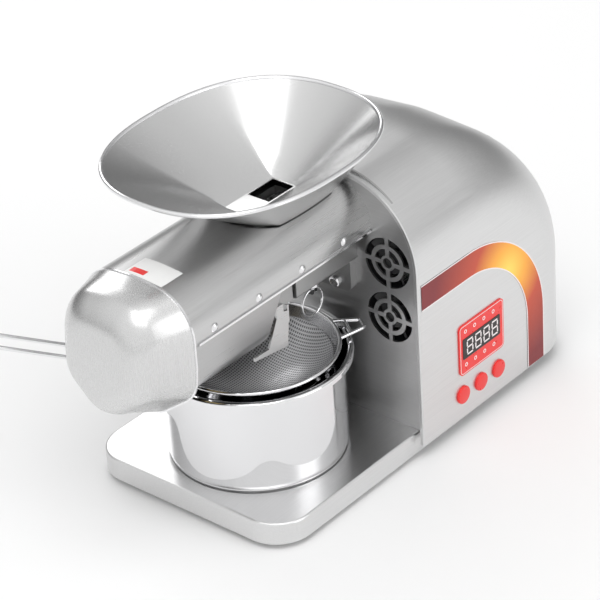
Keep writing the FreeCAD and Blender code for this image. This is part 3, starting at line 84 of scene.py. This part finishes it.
def add_node(tree, kind, output=0, settings=None, **inputs):
    """Adds a node, sets it up, joins or sets its inputs (i0 is the first one) and gives an output."""
    node = tree.nodes.new("ShaderNode" + kind)
    for key, value in (settings or {}).items():
        setattr(node, key, value)
    for key, value in inputs.items():
        socket = node.inputs[int(key[1:])] if key[1:].isdigit() else node.inputs[key.replace("_", " ")]
        if isinstance(value, Sock):
            tree.links.new(value.socket, socket)
        else:
            socket.default_value = value
    return Sock(tree, node.outputs[output])


class Material:
    """A Principled material; node() adds any node and returns one of its outputs."""

    def __init__(self, name, color, roughness, metallic=0.0, **constants):
        self.data = bpy.data.materials.new(name)
        self.data.use_nodes = True
        self.tree = self.data.node_tree
        self.shader = self.tree.nodes["Principled BSDF"]
        self.set("Base Color", (*color, 1.0))
        self.set("Roughness", roughness)
        self.set("Metallic", metallic)
        for key, value in constants.items():
            self.set(key.replace("_", " "), value)

    def set(self, key, value):
        if isinstance(value, Sock):
            self.tree.links.new(value.socket, self.shader.inputs[key])
        else:
            self.shader.inputs[key].default_value = value
        return self

    def node(self, kind, output=0, settings=None, **inputs):
        return add_node(self.tree, kind, output, settings, **inputs)

    def place(self, scale=(1, 1, 1)):
        """Object coordinates stretched by a scale."""
        position = self.node("TexCoord", output=3)
        return self.node("Mapping", Vector=position, Scale=scale)

    def noise(self, scale, stretch=(1, 1, 1), detail=2.0):
        return self.node("TexNoise", Vector=self.place(stretch), Scale=scale, Detail=detail)

    def between(self, factor, low, high):
        """A value that runs from low to high as the factor goes from 0 to 1."""
        return self.node("MapRange", Value=factor, From_Min=0.3, From_Max=0.7, To_Min=low, To_Max=high)

    def colors(self, factor, stops):
        node = self.tree.nodes.new("ShaderNodeValToRGB")
        self.tree.links.new(factor.socket, node.inputs[0])
        ramp = node.color_ramp
        while len(ramp.elements) < len(stops):
            ramp.elements.new(0.5)
        for element, (position, color) in zip(ramp.elements, stops):
            element.position = position
            element.color = (*color, 1.0)
        return Sock(self.tree, node.outputs[0])

    def bump(self, height, distance, strength=0.3):
        return self.set("Normal", self.node("Bump", Height=height, Distance=distance, Strength=strength))

    def on(self, *names):
        for name in names:
            slots = nodes[name].data.materials
            slots.clear()
            slots.append(self.data)
        return self


floor_mesh = bpy.data.meshes.new("floor")
floor_mesh.from_pydata([(-6, -6, 0), (6, -6, 0), (6, 6, 0), (-6, 6, 0)], [], [(0, 1, 2, 3)])
floor = bpy.data.objects.new("floor", floor_mesh)
bpy.context.collection.objects.link(floor)
floor_paint = Material("floor_paint", (0.9, 0.9, 0.9), 0.7)
floor_mesh.materials.append(floor_paint.data)

world = bpy.data.worlds.new("studio")
bpy.context.scene.world = world
world.use_nodes = True
sky_tree = world.node_tree
sky = sky_tree.nodes["Background"]
bright_side = (-0.50, -0.45, 0.74)
darkest = 0.22
facing = add_node(sky_tree, "VectorMath", "Value", {"operation": "DOT_PRODUCT"},
                  i0=add_node(sky_tree, "TexCoord", "Generated"), i1=bright_side)
level = add_node(sky_tree, "MapRange", "Result", {"interpolation_type": "SMOOTHSTEP"}, Value=facing,
                 From_Min=-0.45, From_Max=0.75, To_Min=darkest, To_Max=1.0)
level = level.math("MAXIMUM", add_node(sky_tree, "LightPath", "Is Camera Ray"))
sky_tree.links.new(level.socket, sky.inputs["Strength"])
sky.inputs["Color"].default_value = (1.0, 1.0, 1.0, 1.0)


def soft_light(name, size, energy, place, aim):
    light = bpy.data.lights.new(name, "AREA")
    light.shape = "RECTANGLE"
    light.size, light.size_y = size
    light.energy = energy
    item = bpy.data.objects.new(name, light)
    item.location = place
    item.rotation_euler = (Vector(aim) - Vector(place)).to_track_quat("-Z", "Y").to_euler()
    bpy.context.collection.objects.link(item)
    return item


soft_light("key", (1.2, 1.2), 10, (-0.6, -0.5, 1.9), (0, 0, 0.1))
soft_light("side", (1.0, 1.6), 6, (0.4, -2.0, 0.9), (0, 0, 0.1))
soft_light("back", (1.6, 0.8), 9, (0.9, 1.6, 1.4), (0, 0, 0.1))
bpy.context.scene.view_settings.view_transform = "Standard"


# Hood: one sheet of satin steel folded over the motor as an arch and rolled down over the back.
# Its front edge is turned inwards, and it is cut at the back for the inlet and the switch.
def rounded(corners, depth=0.0, steps=10):
    """Points of a counter-clockwise outline of (x, y, corner radius), every side moved in by a depth."""
    count = len(corners)
    lines = []
    for i, (x0, y0, _) in enumerate(corners):
        x1, y1, _ = corners[(i + 1) % count]
        length = math.hypot(x1 - x0, y1 - y0)
        nx, ny = (y0 - y1) / length, (x1 - x0) / length
        lines.append((nx, ny, nx * x0 + ny * y0 + depth))
    moved = []
    for i in range(count):
        (a0, b0, c0), (a1, b1, c1) = lines[i - 1], lines[i]
        cross = a0 * b1 - a1 * b0
        moved.append(Vector(((c0 * b1 - c1 * b0) / cross, (a0 * c1 - a1 * c0) / cross)))
    points = []
    for i, here in enumerate(moved):
        radius = corners[i][2]
        if radius == 0:
            points.append(here)
            continue
        radius = max(radius - depth, 0.01)
        before, after = (moved[i - 1] - here).normalized(), (moved[(i + 1) % count] - here).normalized()
        half = before.angle(after) / 2
        centre = here + (before + after).normalized() * radius / math.sin(half)
        start = here + before * radius / math.tan(half) - centre
        sweep = math.pi - 2 * half
        for k in range(steps + 1):
            angle = sweep * k / steps
            points.append(centre + Vector((start.x * math.cos(angle) - start.y * math.sin(angle),
                                           start.x * math.sin(angle) + start.y * math.cos(angle))))
    return points


def skin(form, rows, ring=False):
    """Quads between rows of points, each row one loop or one open line."""
    grid = [[form.verts.new(point) for point in row] for row in rows]
    for low, high in zip(grid, grid[1:]):
        for k in range(len(low) if ring else len(low) - 1):
            n = (k + 1) % len(low)
            form.faces.new((low[k], low[n], high[n], high[k]))
    return grid


def piece(name, form, material, body, *replaced, sheet=0.0, cutters=(), crease=28):
    """Turns a mesh drawn in millimetres into a piece of the scene."""
    bmesh.ops.remove_doubles(form, verts=form.verts, dist=0.002)
    bmesh.ops.recalc_face_normals(form, faces=form.faces)
    bmesh.ops.scale(form, vec=(0.001, 0.001, 0.001), verts=form.verts)
    mesh = bpy.data.meshes.new(name)
    form.to_mesh(mesh)
    form.free()
    item = bpy.data.objects.new(name, mesh)
    bpy.context.collection.objects.link(item)
    if sheet:
        thick = item.modifiers.new("sheet", "SOLIDIFY")
        thick.thickness, thick.offset, thick.use_even_offset = sheet / 1000, -1, True
    for cutter in cutters:
        cut = item.modifiers.new("cut", "BOOLEAN")
        cut.object, cut.solver = cutter, "EXACT"
    if item.modifiers:
        ready = item.evaluated_get(bpy.context.evaluated_depsgraph_get())
        item.data = bpy.data.meshes.new_from_object(ready)
        item.modifiers.clear()
    for cutter in cutters:
        bpy.data.objects.remove(cutter)
    for face in item.data.polygons:
        face.use_smooth = True
    item.data.set_sharp_from_angle(angle=math.radians(crease))
    item.data.materials.clear()
    item.data.materials.append(material.data)
    if replaced:
        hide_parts(*replaced)
    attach(item, body)
    return item


def box(form, low, high):
    corners = [form.verts.new((x, y, z))
               for x in (low[0], high[0]) for y in (low[1], high[1]) for z in (low[2], high[2])]
    for face in ((0, 1, 3, 2), (4, 6, 7, 5), (0, 4, 5, 1), (2, 3, 7, 6), (0, 2, 6, 4), (1, 5, 7, 3)):
        form.faces.new([corners[k] for k in face])


def brushed(name, tone, roughness, grain, depth=0.00002):
    """Satin sheet steel: hair-fine grain along one axis and a faint cloudiness."""
    steel = Material(name, (tone, tone, tone * 1.01), roughness, metallic=1.0)
    lines = steel.noise(1500.0, grain, detail=2.0)
    clouds = steel.noise(7.0)
    steel.set("Roughness", steel.between(lines, roughness - 0.03, roughness + 0.03)
              + steel.between(clouds, -0.015, 0.015))
    dark, pale = (tone * 0.97,) * 3, (min(tone * 1.03, 1),) * 3
    steel.set("Base Color", steel.colors(lines, [(0.3, dark), (0.7, pale)]))
    steel.bump(lines, depth, 0.08)
    return steel


hood_half, hood_crest, hood_rise = 91.0, 202.8, 4.0
hood_shoulder, hood_corner, hood_crown = 59.5, 38.0, 96.0
hood_front, hood_back, hood_foot, roll = -10.5, 168.5, 11.5, 119.5
hood_sheet, hood_flange = 1.2, 3.2
roll_x, roll_z = hood_back - roll, hood_crest - roll
wall_top = roll_z + roll / 8


def arch(depth=0.0, ease=0.0):
    rise = hood_rise * (1 - 0.9 * ease)
    shoulder = hood_shoulder + (hood_corner - hood_shoulder) * ease
    loop = rounded([(-hood_half, wall_top - depth, 0), (hood_half, wall_top - depth, 0),
                    (hood_half, hood_crest - rise, shoulder), (0, hood_crest + rise, hood_crown),
                    (-hood_half, hood_crest - rise, shoulder)], depth, 14)
    return loop[1:] + loop[:1]


def tunnel_row(x, depth=0.0):
    line = [(x, p.x, p.y) for p in arch(depth)]
    return [(x, line[0][1], hood_foot), *line, (x, line[-1][1], hood_foot)]


form = bmesh.new()
skin(form, [tunnel_row(hood_front + 0.3, hood_flange), tunnel_row(hood_front, 0.7),
            tunnel_row(hood_front + 0.6), tunnel_row(roll_x)])
dome = []
for part in [k / 20 for k in range(21)]:
    turn = math.pi / 2 * part
    dome.append([(roll_x + (p.y - roll_z) * math.sin(turn), p.x, roll_z + (p.y - roll_z) * math.cos(turn))
                 for p in arch(0, part * part * (3 - 2 * part))])
skin(form, dome)
skin(form, [dome[-1], [(x, y, hood_foot) for x, y, z in dome[-1]]])
for end in (0, -1):
    side = [(roll_x, dome[0][end][1], hood_foot)] + [row[end] for row in dome]
    side.append((dome[-1][end][0], dome[-1][end][1], hood_foot))
    form.faces.new([form.verts.new(p) for p in side])
cutters, cut_gap = [], 0.4
for name in ("power_inlet", "switch_frame"):
    low, high = [Vector(c) * 1000 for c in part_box(name)]
    block = bmesh.new()
    box(block, (hood_back - 12, low.y - cut_gap, low.z - cut_gap),
        (hood_back + 5, high.y + cut_gap, high.z + cut_gap))
    bmesh.ops.recalc_face_normals(block, faces=block.faces)
    bmesh.ops.scale(block, vec=(0.001, 0.001, 0.001), verts=block.verts)
    mesh = bpy.data.meshes.new("cutter")
    block.to_mesh(mesh)
    cutters.append(bpy.data.objects.new("cutter", mesh))
    bpy.context.collection.objects.link(cutters[-1])
hood_steel = brushed("hood_steel", 0.70, 0.36, (0.02, 1, 1))
piece("hood_sheet", form, hood_steel, "machine", "hood", sheet=hood_sheet, cutters=cutters)
brushed("plate_steel", 0.50, 0.34, (1, 0.02, 1)).on("front_plate", "hood_brackets")

# Control panel: a bright red plate with a black window, stuck on the hood's side wall
wall = -hood_half


def slab(form, loop, back, front):
    """A flat plate on the side wall: an outline (x, z) between two depths along Y."""
    faces = [[form.verts.new((x, y, z)) for x, z in loop] for y in (back, front)]
    form.faces.new(faces[0])
    form.faces.new(faces[1])
    for k in range(len(loop)):
        n = (k + 1) % len(loop)
        form.faces.new((faces[0][k], faces[0][n], faces[1][n], faces[1][k]))


def window_frame(x0, z0, x1, z1, radius, depth=0.0):
    return rounded([(x0, z0, radius), (x1, z0, radius), (x1, z1, radius), (x0, z1, radius)], depth, 6)


panel_sizes = (30.3, 45.0, 80.0, 83.8, 3.5)
panel_red = Material("panel_red", (0.80, 0.015, 0.012), 0.30, Coat_Weight=0.3)
panel_red.set("Roughness", panel_red.between(panel_red.noise(200.0), 0.27, 0.36))
form = bmesh.new()
slab(form, window_frame(*panel_sizes), wall, wall - 0.9)
piece("panel_plate", form, panel_red, "machine", "control_panel")

window_black = Material("window_black", (0.010, 0.006, 0.006), 0.14)
window_black.set("Roughness", window_black.between(window_black.noise(40.0), 0.11, 0.18))
form = bmesh.new()
slab(form, window_frame(33.9, 57.0, 75.5, 72.9, 1.0), wall - 0.8, wall - 1.2)
piece("panel_window", form, window_black, "machine", "display_module")

# Printed on the panel: a white line around it, two rows of round studs and four plain numerals
print_white = Material("print_white", (0.86, 0.80, 0.80), 0.45)
print_white.set("Roughness", print_white.between(print_white.noise(150.0), 0.40, 0.50))
form = bmesh.new()


def printed_ring(form, outer, inner):
    """A thin raised line between two outlines (x, z) on the panel's face."""
    skin(form, [[(x, y, z) for x, z in loop] for loop, y in
                ((outer, wall - 0.85), (outer, wall - 1.0), (inner, wall - 1.0), (inner, wall - 0.85))], True)


def circle(x, z, radius, count=16):
    return [(x + radius * math.cos(2 * math.pi * k / count), z + radius * math.sin(2 * math.pi * k / count))
            for k in range(count)]


printed_ring(form, window_frame(*panel_sizes, 0.9), window_frame(*panel_sizes, 1.3))
for stud_z in (78.1, 52.1):
    for stud_x in (37.4, 47.6, 58.0, 68.5):
        printed_ring(form, circle(stud_x, stud_z, 1.5), circle(stud_x, stud_z, 0.9))
segment, stroke, tall = 6.0, 1.1, 10.6
first_numeral, numeral_step, numeral_foot, joint_gap = 38.6, 9.3, 59.7, 0.9


def bar_of_light(form, x0, z0, x1, z1):
    slab(form, [(x0, z0), (x1, z0), (x1, z1), (x0, z1)], wall - 1.15, wall - 1.3)


for place in range(4):
    left = first_numeral + numeral_step * place
    for z in (numeral_foot, numeral_foot + tall / 2, numeral_foot + tall):
        bar_of_light(form, left, z - stroke / 2, left + segment, z + stroke / 2)
    for x in (left, left + segment):
        for z in (numeral_foot, numeral_foot + tall / 2):
            bar_of_light(form, x - stroke / 2, z + joint_gap, x + stroke / 2, z + tall / 2 - joint_gap)
piece("panel_print", form, print_white, "machine")

# Three round red push-buttons below the panel
button_z = 29.6
button_profile = ((6.6, 0.0), (6.6, 1.1), (6.2, 1.6), (5.2, 1.8), (2.5, 1.9), (0.01, 1.9))
buttons = ((33.5, "button_left"), (53.5, "button_middle"), (73.5, "button_right"))
for number, (button_x, button_body) in enumerate(buttons, 1):
    form = bmesh.new()
    skin(form, [[(x, wall - out, z) for x, z in circle(button_x, button_z, radius, 32)]
                for radius, out in button_profile], True)
    piece(f"push_button_{number}", form, panel_red, button_body, f"button_{number}")

# Decal band: a printed foil that runs back from the front edge, bends down and ends at the foot, with a
# painted highlight on its bend
band_front, band_top, band_right, band_bend, band_wide, band_line = -7.0, 135.0, 127.4, 82.4, 19.3, 0.8


def band_edge(depth):
    bend_x, bend_z = band_right - band_bend, band_top - band_bend
    line = [(band_front, band_top - depth)]
    for k in range(25):
        turn = math.pi / 2 * k / 24
        line.append((bend_x + (band_bend - depth) * math.sin(turn),
                     bend_z + (band_bend - depth) * math.cos(turn)))
    return line + [(band_right - depth, hood_foot + 0.5)]


def strip(form, outer_depth, inner_depth, out):
    outer, inner = band_edge(outer_depth), band_edge(inner_depth)
    skin(form, [[(x, y, z) for x, z in line] for line, y in
                ((outer, wall), (outer, wall - out), (inner, wall - out), (inner, wall))])


form = bmesh.new()
strip(form, 0, band_wide, 0.25)
band = Material("band_foil", (0.3, 0.02, 0.02), 0.32)
# Painted highlight in the foil's colour: bright yellow at one point on the bend, fading through orange to
# deep red further away
painted_highlight_centre = (0.087, wall / 1000, 0.0996)
painted_highlight = band.node("VectorMath", 1, {"operation": "DISTANCE"}, i0=band.node("TexCoord", 3), i1=painted_highlight_centre)
band.set("Base Color", band.colors(painted_highlight * 12.0, [(0.0, (1.0, 0.72, 0.12)), (0.22, (0.95, 0.42, 0.04)),
                                                 (0.5, (0.52, 0.06, 0.02)), (1.0, (0.20, 0.012, 0.016))]))
band.set("Roughness", band.between(band.noise(200.0), 0.30, 0.38))
piece("band_foil", form, band, "machine", "colour_band")
form = bmesh.new()
strip(form, 0.0, band_line, 0.32)
strip(form, band_wide - band_line, band_wide, 0.32)
piece("band_lines", form, print_white, "machine")

# Cover over the barrel: a satin steel channel screwed to the skirt, with a hemmed lower edge
axis_y, head_half, cover_crest, head_front = -6.0, 45.5, 197.8, -179.0
crown_rise, head_shoulder, crown_arc, cover_edge = 1.6, 30.0, 110.0, 163.5
head_top = [(head_half, cover_crest - crown_rise, head_shoulder), (0, cover_crest + crown_rise, crown_arc),
            (-head_half, cover_crest - crown_rise, head_shoulder)]
cover_line = rounded([(-head_half, 100.0, 0), (head_half, 100.0, 0)] + head_top, 0.0, 12)


def cover_height(y):
    across = abs(y - axis_y)
    line = sorted((p.x, p.y) for p in cover_line if p.x >= 0 and p.y > 120)
    for (x0, z0), (x1, z1) in zip(line, line[1:]):
        if x0 <= across <= x1:
            return z0 + (z1 - z0) * (across - x0) / max(x1 - x0, 1e-6)
    return line[0][1] if across < line[0][0] else cover_edge


head_steel = brushed("head_steel", 0.58, 0.30, (0.02, 1, 1)).on(
    "barrel_cover", "chute_side_near", "chute_side_far", "drip_guide")
bright = Material("bright_edge", (0.86, 0.86, 0.87), 0.16, metallic=1.0)
bright.set("Roughness", bright.between(bright.noise(60.0), 0.13, 0.20))
form = bmesh.new()
for side in (-1, 1):
    y = axis_y + side * head_half
    inside, outside = y - side * 0.2, y + side * 0.8
    box(form, (-176.0, min(inside, outside), cover_edge - 0.1),
        (-7.5, max(inside, outside), cover_edge + 1.3))
piece("cover_hem", form, bright, "machine")

# Blank paper sticker with a plain red bar near the cap end of the cover
def patch(x0, x1, y0, y1, lift, steps):
    """A thin sheet laid on the cover's crown."""
    form = bmesh.new()
    across = [y0 + (y1 - y0) * k / steps for k in range(steps + 1)]
    skin(form, [[(x, y, cover_height(y) + up) for y in across]
                for x, up in ((x0, 0), (x0, lift), (x1, lift), (x1, 0))])
    return form


paper = Material("sticker_paper", (0.88, 0.88, 0.87), 0.5)
paper.set("Roughness", paper.between(paper.noise(120.0), 0.45, 0.55))
piece("sticker", patch(-178.2, -158.2, -26.4, 5.0, 0.15, 16), paper, "machine")
piece("sticker_bar", patch(-175.5, -170.5, -9.0, 3.0, 0.22, 8), panel_red, "machine")

# End cap: deep-drawn steel cup over the end of the head, tapered, with a round front edge that leans
cap_reach, cap_taper, cap_level, cap_bend, cap_lean, cap_sheet = 35.5, 0.73, 185.0, 20.0, 0.13, 1.5
belly_half, belly_z, belly_point, belly_round, flank_top = 43.5, 127.5, 95.0, 27.0, 150.0


def cap_section(depth):
    belly = [(-belly_half, belly_z, belly_round), (0, belly_point, belly_round),
             (belly_half, belly_z, belly_round), (head_half, flank_top, 0)]
    return rounded(belly + head_top + [(-head_half, flank_top, 0)], depth, 10)


def cap_rows(depth):
    section = cap_section(depth)
    across, reach, bend = head_half - depth, cap_reach - depth, cap_bend - depth
    top, foot = max(p.y for p in section), min(p.y for p in section)
    angle = math.atan2((1 - cap_taper) * across, reach)
    corner = bend * math.tan((math.pi / 2 - angle) / 2)
    first = reach - corner * math.cos(angle)
    profile = [(0.0, 0.0), (first * 0.5, 0.0), (first, 0.0)]
    for k in range(1, 9):
        turn = angle + (math.pi / 2 - angle) * k / 8
        profile.append((first + bend * (math.sin(turn) - math.sin(angle)),
                        bend * (math.cos(angle) - math.cos(turn))))
    rows = []
    for forward, inwards in profile:
        taper = 1 - (1 - cap_taper) * min(forward, first) / reach
        wide = (across * taper - inwards) / across
        high = cap_level + (top - cap_level) * taper - inwards
        low = cap_level + (foot - cap_level) * taper + inwards
        row = []
        for p in section:
            z = low + (p.y - foot) * (high - low) / (top - foot)
            lean = cap_lean * forward / reach * (top - z)
            row.append((head_front - forward - lean, axis_y + p.x * wide, z))
        rows.append(row)
    return rows


cap_steel = brushed("cap_steel", 0.66, 0.27, (1, 1, 0.02))
form = bmesh.new()
shells = [skin(form, cap_rows(depth), True) for depth in (0.0, cap_sheet)]
for shell in shells:
    form.faces.new(shell[-1])
for k in range(len(shells[0][0])):
    n = (k + 1) % len(shells[0][0])
    form.faces.new((shells[0][0][k], shells[0][0][n], shells[1][0][n], shells[1][0][k]))
piece("cap_cup", form, cap_steel, "cap", "end_cap")
form = bmesh.new()
skin(form, [[(x, axis_y + p.x, p.y) for p in cap_section(depth)] for depth, x in
            ((-0.5, head_front + 0.1), (-0.5, head_front - 1.2), (0.8, head_front - 1.2),
             (0.8, head_front + 0.1), (-0.5, head_front + 0.1))], True)
piece("cap_edge", form, bright, "cap")

# Hopper: folded from satin sheet with four flat-ruled sides that open to an oval wired rim
rim_x, rim_z, rim_long, rim_wide, rim_power, sheet = -74.0, 244.1, 94.0, 76.0, 2.37, 1.5
marks = [-64.0, 64.0, 116.0, 244.0, 296.0]


def rim_point(degrees, depth, height):
    c, d = math.cos(math.radians(degrees)), math.sin(math.radians(degrees))
    power = 2 / rim_power
    return Vector((rim_x + (rim_long - depth) * math.copysign(abs(c) ** power, c),
                   axis_y + (rim_wide - depth) * math.copysign(abs(d) ** power, d), height))


def rulings(x0, x1, y0, y1, low, depth, count=30):
    """Pairs of points, rectangle to rim: each side of the rectangle runs out to its quarter of the rim."""
    feet = [Vector((x1, y0, low)), Vector((x1, y1, low)), Vector((x0, y1, low)), Vector((x0, y0, low))]
    pairs = []
    for k in range(4):
        for n in range(count):
            part = n / count
            pairs.append((feet[k].lerp(feet[(k + 1) % 4], part),
                          rim_point(marks[k] + (marks[k + 1] - marks[k]) * part, depth, rim_z)))
    return pairs


steps = 8
mouth_x, mouth_y, mouth_z = (-63.0, -38.0), (-15.0, 3.0), 200.2
outer_rows = [[] for _ in range(steps + 1)]
for foot, rim in rulings(-62.1, -23.1, -22.0, 10.0, 180.0, 0.0):
    near, far = 0.0, 1.0
    for _ in range(30):
        middle = (near + far) / 2
        here = foot.lerp(rim, middle)
        if here.z < cover_height(here.y) + 1.3 or here.z < 180.5:
            near = middle
        else:
            far = middle
    start = foot.lerp(rim, near)
    for k in range(steps + 1):
        outer_rows[k].append(start.lerp(rim, k / steps))
inner_rows = [[] for _ in range(steps + 1)]
for foot, rim in rulings(-84.0, -36.8, -16.0, 4.0, mouth_z, sheet):
    for k in range(steps + 1):
        inner_rows[k].append(foot.lerp(rim, k / steps))
hopper_steel = brushed("hopper_steel", 0.66, 0.24, (1, 1, 0.05))
form = bmesh.new()
skin(form, inner_rows[::-1], True)
skin(form, outer_rows, True)
mouth_edge = [Vector((min(max(p.x, mouth_x[0]), mouth_x[1]), min(max(p.y, mouth_y[0]), mouth_y[1]), mouth_z))
              for p in inner_rows[0]]
skin(form, [inner_rows[0], mouth_edge, [p - Vector((0, 0, 1.0)) for p in mouth_edge]], True)
piece("hopper_funnel", form, hopper_steel, "hopper", "hopper")
wire_radius, form = 1.5, bmesh.new()
skin(form, [[rim_point(marks[0] + 360 * n / 120, 0.4 - wire_radius * math.cos(turn),
                       rim_z + 0.4 + wire_radius * math.sin(turn)) for n in range(120)]
            for turn in [2 * math.pi * k / 12 for k in range(13)]], True)
piece("hopper_rim_wire", form, bright, "hopper")

# Steel pieces drawn wholly in the CAD: the base, then the cast block and gear cases bolted behind
# the front plate, then what is turned or milled: barrel, nut, press screw, shafts, gears and motor
brushed("tray_steel", 0.72, 0.32, (0.02, 1, 1)).on("base_tray", "base_plate")
brushed("cast_steel", 0.42, 0.38, (1, 1, 1)).on("press_block", "slot_housing", "gear_case", "gear_cover")
brushed("machined_steel", 0.40, 0.28, (0.05, 1, 1)).on(
    "press_barrel", "barrel_nut", "press_screw", "output_shaft", "output_gear", "middle_gear_shaft",
    "motor_pinion", "motor_can", "motor_end_bell", "motor_front_bearing", "motor_armature")

# Polished steel: cup, wires, screw heads and pins
polished = Material("polished_steel", (0.80, 0.80, 0.81), 0.05, metallic=1.0)
polished.set("Roughness", polished.between(polished.noise(30.0), 0.04, 0.08))
polished.on("oil_cup", "strainer_rim", "strainer_handle", "strainer_ear", "cover_screws", "hood_screws",
            "flange_bolts", "pin_bush", "lock_pin", "pull_ring")

# Heater band: thin brass clamped around the barrel
brass = Material("heater_brass", (0.70, 0.55, 0.28), 0.3, metallic=1.0)
brass.set("Roughness", brass.between(brass.noise(60.0), 0.25, 0.38)).on("heater_band")

# Strainer bowl: woven steel wire, its two sets of wires crossing at right angles
mesh_steel = Material("mesh_steel", (0.45, 0.45, 0.46), 0.35, metallic=1.0)
wires = [mesh_steel.node("TexWave", 1, {"bands_direction": axis}, Vector=mesh_steel.place(), Scale=180.0)
         for axis in ("X", "Y")]
mesh_steel.set("Roughness", mesh_steel.between(mesh_steel.noise(300.0), 0.3, 0.42)).on("strainer_mesh")
mesh_steel.set("Base Color", mesh_steel.colors(wires[0] * wires[1],
                                               [(0.1, (0.55, 0.55, 0.56)), (0.5, (0.12, 0.12, 0.125))]))

# Moulded plastic, rubber and the circuit board: fans, inlet, switch, feet and control board
black = Material("black_plastic", (0.015, 0.015, 0.016), 0.42)
black.bump(black.noise(1500.0), 0.00005, 0.3)
black.on("fan_frame_lower", "fan_frame_upper", "fan_wheel_lower", "fan_wheel_upper", "power_inlet",
         "switch_frame", "motor_magnets")
rubber = Material("foot_rubber", (0.02, 0.02, 0.02), 0.7)
rubber.bump(rubber.noise(900.0), 0.0001, 0.4).on("rubber_feet")
board = Material("board_green", (0.02, 0.16, 0.07), 0.4)
board.set("Roughness", board.between(board.noise(120.0), 0.35, 0.5)).on("control_board")
red = Material("red_plastic", (0.62, 0.02, 0.015), 0.3, Coat_Weight=0.3)
red.set("Roughness", red.between(red.noise(200.0), 0.27, 0.36)).on("switch_rocker")
